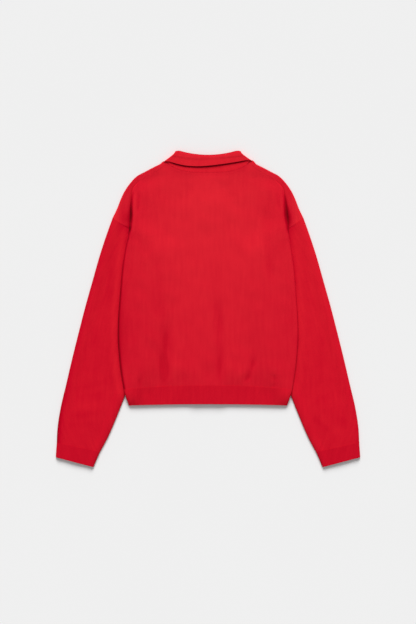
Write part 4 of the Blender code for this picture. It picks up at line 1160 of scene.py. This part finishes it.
def make_collar(rib):
    rings = collar_rings()
    half = [(share, False) for share in COLLAR_SHARES] + [(share, True) for share in COLLAR_SHARES[-2::-1]]
    rows = []
    for k, ring in enumerate(rings):
        tilt = LEAF_TILT * smooth((k - TILT_START) / (len(rings) - 1 - TILT_START))
        right = [collar_point(ring, share, front, tilt) for share, front in half]
        left = [collar_point(ring, share, front, -tilt) for share, front in half[:0:-1]]
        row = np.array([(-x, y, z) for x, y, z in left] + right)
        if ring is COLLAR_SEAM:
            row[:, 1] += shoulder_bump(row[:, 0], row[:, 1])
        rows.append(row)
    grid = np.zeros((len(rows), len(rows[0]), 5))
    grid[..., :3] = rows
    fold = grid[len(rows) // 2, :, :3]
    grid[..., 3] = np.concatenate([[0.0], np.cumsum(np.linalg.norm(np.diff(fold, axis=0), axis=1))])
    up = np.linalg.norm(np.diff(grid[..., :3], axis=0), axis=-1).mean(axis=1)
    grid[1:, :, 4] = np.cumsum(up)[:, None]
    fine = refined_first(grid, COLLAR_STEP)
    # The leaf's edge at the back stands off the stand, least at its ends.
    x, y, z = np.moveaxis(fine[..., :3], -1, 0)
    down = ramp(fine[..., 4], grid[[-3, -1], 0, 4])
    fine[..., 2] = np.minimum(z, FOLD_TOP)
    lift = LEAF_LIFT * ramp(np.abs(x), LIFT_RAMP)
    lift += LEAF_WAVE * np.sin(x / WAVE_SPREAD + 1) * ramp(np.abs(x), WAVE_RAMP)
    fine[..., 2] += lift * down * (z > LEAF_LOWEST)
    # Painted shadow in the gap under the leaf's edge, painted shade on the stand, and faintly darker along
    # the seam.
    last = fine[-1][fine[-1, :, 2] > LEAF_EDGE.z_back - 1]
    under = np.interp(x, last[:, 0], last[:, 1]) - y
    stand = (fine[..., 4] < grid[2, 0, 4]) & (z > BACK_LOWEST)
    tone = np.where(stand, STAND_SHADE_TONE, LEAF_TONE) - line_in(fine[..., 4], SEAM_LINE)
    tone -= line_in(under, LEAF_GAP_SHADOW) * stand * ramp(np.abs(x), GAP_RAMP)
    fine = np.concatenate([fine, tone[..., None]], axis=-1)
    made = surface([fine], downwards=True)
    return shell("folded_collar", made, CLOTH, rib)


# The zip, hidden under the sweater.
TAPE = 0.7
TAPE_WIDTH = 13.4
TAPE_INNER = 1.6  # from the zip's middle to the tape's inner edge
TAPE_ROWS, TAPE_COLUMNS = 60, 6
RIB_FADE = 12.0  # how far over the hem's seam the tape comes down from the rib to the knit
BOX_LENGTH = 10.0  # the teeth start above the box
ZIP_BOTTOM_Y = -231.8
ZIP_TOP_Y = 258.0
BEAD_TOP_Y = 249.0
TOOTH_PITCH = 2.5
ToothSection = namedtuple("ToothSection", "x half_height half_width")
TOOTH = rows_of(ToothSection, [
    (-0.75, 0.5, 0.3),
    (-0.55, 0.7, 0.48),
    (0.7, 0.7, 0.48),
    (1.0, 0.95, 0.55),
    (2.6, 0.95, 0.55),
    (2.85, 0.75, 0.4),
])


def chain_middle(y):
    wall = lerp(RIB, CLOTH, smooth((y - HEM_SEAM_Y) / RIB_FADE))
    return front_floor(ZIP_EDGE, y) + wall + SEAM + TAPE / 2


def make_tape(side, tape):
    ys = np.linspace(ZIP_BOTTOM_Y, ZIP_TOP_Y, TAPE_ROWS)
    xs = np.linspace(TAPE_INNER, TAPE_INNER + TAPE_WIDTH, TAPE_COLUMNS)
    rows = [[Vector((x, y, chain_middle(y))) for x in xs] for y in ys]
    return shell(f"tape_{side}", surface([on_side(with_knit(rows), side)]), TAPE, tape)


def make_teeth(side, metal):
    """A row of teeth. The two rows are half a pitch apart, so their heads interlock."""
    start = ZIP_BOTTOM_Y + BOX_LENGTH + (TOOTH_PITCH / 2 if side == "left" else 0.0)
    ys = np.arange(start, BEAD_TOP_Y - 1, TOOTH_PITCH)
    corners = [(-1, -1), (1, -1), (1, 1), (-1, 1)]
    one = np.array([(s.x, s.half_width * a, s.half_height * b) for s in TOOTH for a, b in corners])
    sides = np.array([[c, (c + 1) % 4, 4 + (c + 1) % 4, 4 + c] for c in range(4)])
    last = 4 * (len(TOOTH) - 1)
    faces = [[0, 3, 2, 1], *[quad for r in range(0, last, 4) for quad in sides + r]]
    faces = np.array([*faces, [last, last + 1, last + 2, last + 3]])
    heights = np.array([chain_middle(y) for y in ys])
    places = np.stack([np.zeros_like(ys), ys, heights], axis=1)
    points = (one[None] + places[:, None]).reshape(-1, 3)
    every = (faces[None] + (np.arange(len(ys)) * len(one))[:, None, None]).reshape(-1, 4)
    if side == "left":
        points[:, 0] *= -1
        every = every[:, ::-1]
    made = mesh_object(f"teeth_{side}", points, every, metal)
    made.data.set_sharp_from_angle(angle=math.radians(40))
    return made


# Materials.


class Nodes:
    """A material's nodes, with a call for each sum."""

    def __init__(self, name, settings):
        self.material = bpy.data.materials.new(name)
        self.material.use_nodes = True
        self.tree = self.material.node_tree
        self.shader = self.tree.nodes["Principled BSDF"]
        for socket, value in settings.items():
            self.shader.inputs[socket].default_value = value

    def link(self, value, socket):
        if isinstance(value, bpy.types.NodeSocket):
            self.tree.links.new(value, socket)
        else:
            socket.default_value = value

    def add(self, kind, values, output=0, **settings):
        """One output of a new node with the settings. The values go to its inputs, by name or number."""
        node = self.tree.nodes.new("ShaderNode" + kind)
        for name, setting in settings.items():
            setattr(node, name, setting)
        for socket, value in values.items():
            self.link(value, node.inputs[socket])
        return node.outputs[output]

    def math(self, operation, *values):
        return self.add("Math", dict(enumerate(values)), operation=operation)

    def times(self, a, b):
        return self.math("MULTIPLY", a, b)

    def wave(self, value, scale):
        return self.math("SINE", self.times(value, scale))

    def limited(self, value):
        """The value kept between 0 and 1."""
        return self.math("MINIMUM", self.math("MAXIMUM", value, 0.0), 1.0)

    def noise(self, vector, scale, detail):
        return self.add("TexNoise", {"Vector": vector, "Scale": scale, "Detail": detail}, "Fac")

    def mix(self, share, dark, light):
        values = {"Factor": share, 6: dark, 7: light}
        return self.add("Mix", values, 2, data_type="RGBA", clamp_factor=False)

    def place(self):
        return self.add("TexCoord", {}, "Object")

    def knit(self):
        """What mesh_object stores at every point: the place across and along the wales, and the painted tone.
        """
        return self.add("Attribute", {}, "Vector", attribute_name="knit")

    def parts(self, vector):
        return self.add("SeparateXYZ", {0: vector}).node.outputs

    def bump(self, height, strength, distance):
        values = {"Height": height, "Strength": strength, "Distance": distance}
        self.link(self.add("Bump", values), self.shader.inputs["Normal"])

    def colour(self, value):
        self.link(value, self.shader.inputs["Base Color"])
        return self.material


def shade(colour, share=1.0):
    return (*[c * share for c in colour], 1.0)


# Scale and detail of each noise.
FUZZ, DYE, STREAKS, WEAR, GRAIN = (900.0, 3.0), (38.0, 2.0), (1.0, 3.0), (350.0, 4.0), (3.0, 1.0)
# Strength and distance of each relief.
KNIT_RELIEF, WEAVE_RELIEF = (0.35, 0.0006), (0.3, 0.0002)
WALE = 1.35
COURSE = 0.95
SLANT = 1.6  # how steeply a stitch's legs lean, in courses
YARN_SWING = 0.3  # how much a stitch rises and falls along the wale
FUZZ_HEIGHT = 0.5
STREAK = 7.0  # width of the faint streaks along the wales
STREAK_LENGTH = 9.0  # in widths
SHADED = (0.455, 0.0, 0.0118)  # the painted shade colour in a fold, at a tone of SHADED_TONE
SHADED_TONE = -0.3
DEEP = (0.16, 0.0, 0.0028)  # and painted deep shade where hardly any light reaches, at -1
KNIT_SHADER = {
    "Roughness": 0.95,
    "Specular IOR Level": 0.05,
    "Sheen Weight": 0.04,
    "Sheen Roughness": 0.5,
    "Sheen Tint": (1.0, 0.06, 0.1, 1.0),
}


def knit_material(name, dark, light):
    """Fine plain knit: columns of V-shaped stitches, soft fuzz, faint streaks along the wales and uneven dye.
    The colour lies between dark and light by the painted tone, and below 0 it goes from dark over the painted
    shade SHADED to DEEP. The stitches also paint shade into the colour, in the grooves between them."""
    nodes = Nodes(name, KNIT_SHADER)
    knit = nodes.knit()
    wales, courses, tone = nodes.parts(knit)
    cell = nodes.math("FRACT", nodes.times(wales, 1 / WALE))
    along = nodes.times(courses, 1 / COURSE)
    fold = nodes.math("ABSOLUTE", nodes.math("SUBTRACT", cell, 0.5))
    arch = nodes.wave(cell, math.pi)
    slanted = nodes.math("MULTIPLY_ADD", fold, SLANT, along)
    yarn = nodes.wave(slanted, 2 * math.pi)
    stitch = nodes.times(arch, nodes.math("MULTIPLY_ADD", yarn, YARN_SWING, 1 - YARN_SWING))
    place = nodes.place()
    fuzz = nodes.noise(place, *FUZZ)
    dye = nodes.noise(place, *DYE)
    squeeze = (1 / STREAK, 1 / STREAK / STREAK_LENGTH, 0.0)
    streak = nodes.noise(nodes.add("Mapping", {"Vector": knit, "Scale": squeeze}), *STREAKS)
    nodes.bump(nodes.math("MULTIPLY_ADD", fuzz, FUZZ_HEIGHT, stitch), *KNIT_RELIEF)
    level = nodes.math("MAXIMUM", tone, 0.0)
    # Below 0 the painted tone mixes in painted shade.
    hollow = nodes.limited(nodes.times(tone, 1 / SHADED_TONE))
    deeper = nodes.math("SUBTRACT", tone, SHADED_TONE)
    hidden = nodes.limited(nodes.math("DIVIDE", deeper, -1 - SHADED_TONE))
    # Each pattern swings about its middle, by its weight, so that the colour's mean stays at the tone. The
    # stitch's swing is painted shade in the grooves between the stitches.
    patterns = ((stitch, 0.45, 0.45), (fuzz, 0.5, 0.5), (streak, 0.5, 0.75), (dye, 0.5, 0.4))
    for pattern, middle, weight in patterns:
        swing = nodes.times(nodes.math("SUBTRACT", pattern, middle), weight)
        level = nodes.math("ADD", level, swing)
    lit = nodes.mix(level, shade(dark), shade(light))
    shaded = nodes.mix(hollow, lit, shade(SHADED))
    return nodes.colour(nodes.mix(hidden, shaded, shade(DEEP)))


WARP, WEFT = 0.55, 0.7  # the spacing of the tape's threads


def tape_material(name, colour):
    nodes = Nodes(name, {"Roughness": 0.8, "Specular IOR Level": 0.2})
    across, along, _ = nodes.parts(nodes.knit())
    warp = nodes.wave(across, 2 * math.pi / WARP)
    weft = nodes.wave(along, 2 * math.pi / WEFT)
    weave = nodes.math("MULTIPLY_ADD", nodes.times(warp, weft), 0.5, 0.5)
    nodes.bump(weave, *WEAVE_RELIEF)
    return nodes.colour(nodes.mix(weave, shade(colour, 0.85), shade(colour, 1.12)))


LEAST_ROUGHNESS, WORN_ROUGHER = 0.2, 0.25


def metal_material(name):
    nodes = Nodes(name, {"Metallic": 1.0})
    wear = nodes.noise(nodes.place(), *WEAR)
    roughness = nodes.math("MULTIPLY_ADD", wear, WORN_ROUGHER, LEAST_ROUGHNESS)
    nodes.link(roughness, nodes.shader.inputs["Roughness"])
    return nodes.colour(nodes.mix(wear, (0.55, 0.55, 0.57, 1), (0.72, 0.72, 0.73, 1)))


def floor_material():
    nodes = Nodes("pale_floor", {"Roughness": 0.9, "Specular IOR Level": 0.0})
    grain = nodes.noise(nodes.place(), *GRAIN)
    return nodes.colour(nodes.mix(grain, (0.80, 0.80, 0.80, 1), (0.81, 0.81, 0.81, 1)))


def place_cloth(piece, nodes):
    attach(piece, "garment")
    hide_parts(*nodes)


CAMERA_Y, CAMERA_HEIGHT = -0.00835, 3.618  # in metres, straight above the sweater


def lights_and_camera():
    scene = bpy.context.scene
    scene.view_settings.view_transform = "Standard"
    world = bpy.data.worlds.new("studio")
    scene.world = world
    world.use_nodes = True
    background = world.node_tree.nodes["Background"]
    background.inputs["Color"].default_value = (1.0, 1.0, 1.0, 1.0)
    background.inputs["Strength"].default_value = 0.42
    sun = bpy.data.lights.new("window", "SUN")
    sun.energy = 4.05
    sun.angle = math.radians(32)
    lamp = bpy.data.objects.new("window", sun)
    lamp.rotation_euler = Vector(WINDOW).to_track_quat("Z", "Y").to_euler()
    scene.collection.objects.link(lamp)

    camera = bpy.data.cameras.new("camera")
    camera.lens = 85
    camera.sensor_width = 36
    camera.sensor_fit = "AUTO"
    camera.clip_end = 50
    holder = bpy.data.objects.new("camera", camera)
    holder.location = (0.0, CAMERA_Y, CAMERA_HEIGHT)
    scene.collection.objects.link(holder)
    scene.camera = holder


FLOOR_REACH = 9000  # in millimetres, to each side


def main():
    # Copies of one red yarn. The sleeve's copy is painted darker, as the light fell on it; the rib's is
    # darker and the collar's lighter. Each goes from its darkest to its lightest lit colour by the painted
    # tone.
    body = knit_material("body_knit", (0.590, 0.0060, 0.0205), (0.690, 0.0143, 0.0272))
    sleeve = knit_material("sleeve_knit", (0.520, 0.0016, 0.0155), (0.645, 0.0086, 0.0216))
    rib = knit_material("rib_knit", (0.505, 0.0020, 0.0152), (0.620, 0.0062, 0.0202))
    collar_knit = knit_material("collar_knit", (0.610, 0.0062, 0.0195), (0.740, 0.0180, 0.0295))
    tape = tape_material("tape_weave", (0.40, 0.008, 0.018))
    metal = metal_material("nickel")

    back = make_back(body)
    place_cloth(back, ["back"])
    hem = make_hem("hem_band_back", None, rib)
    place_cloth(hem, ["hem_rib_back"])
    collar = make_collar(collar_knit)
    place_cloth(collar, ["collar"])
    for side in ("left", "right"):
        piece = make_front(side, body)
        place_cloth(piece, [f"front_{side}"])
        piece = make_hem(f"hem_band_{side}", side, rib)
        place_cloth(piece, [f"hem_rib_front_{side}"])
        piece = make_sleeve(side, sleeve)
        place_cloth(piece, [f"sleeve_{side}"])
        piece = make_cuff(side, rib)
        place_cloth(piece, [f"cuff_{side}"])
        teeth = make_teeth(side, metal)
        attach(teeth, "garment")
        piece = make_tape(side, tape)
        place_cloth(piece, [f"zip_tape_{side}"])
    for name in ("zip_box", "zip_slider", "zip_pull_tab"):
        bpy.data.objects[name].data.materials.clear()
        bpy.data.objects[name].data.materials.append(metal)

    corners = [(a * FLOOR_REACH, b * FLOOR_REACH, 0) for a, b in ((-1, -1), (1, -1), (1, 1), (-1, 1))]
    mesh_object("floor", corners, [[0, 1, 2, 3]], floor_material())
    lights_and_camera()


main()
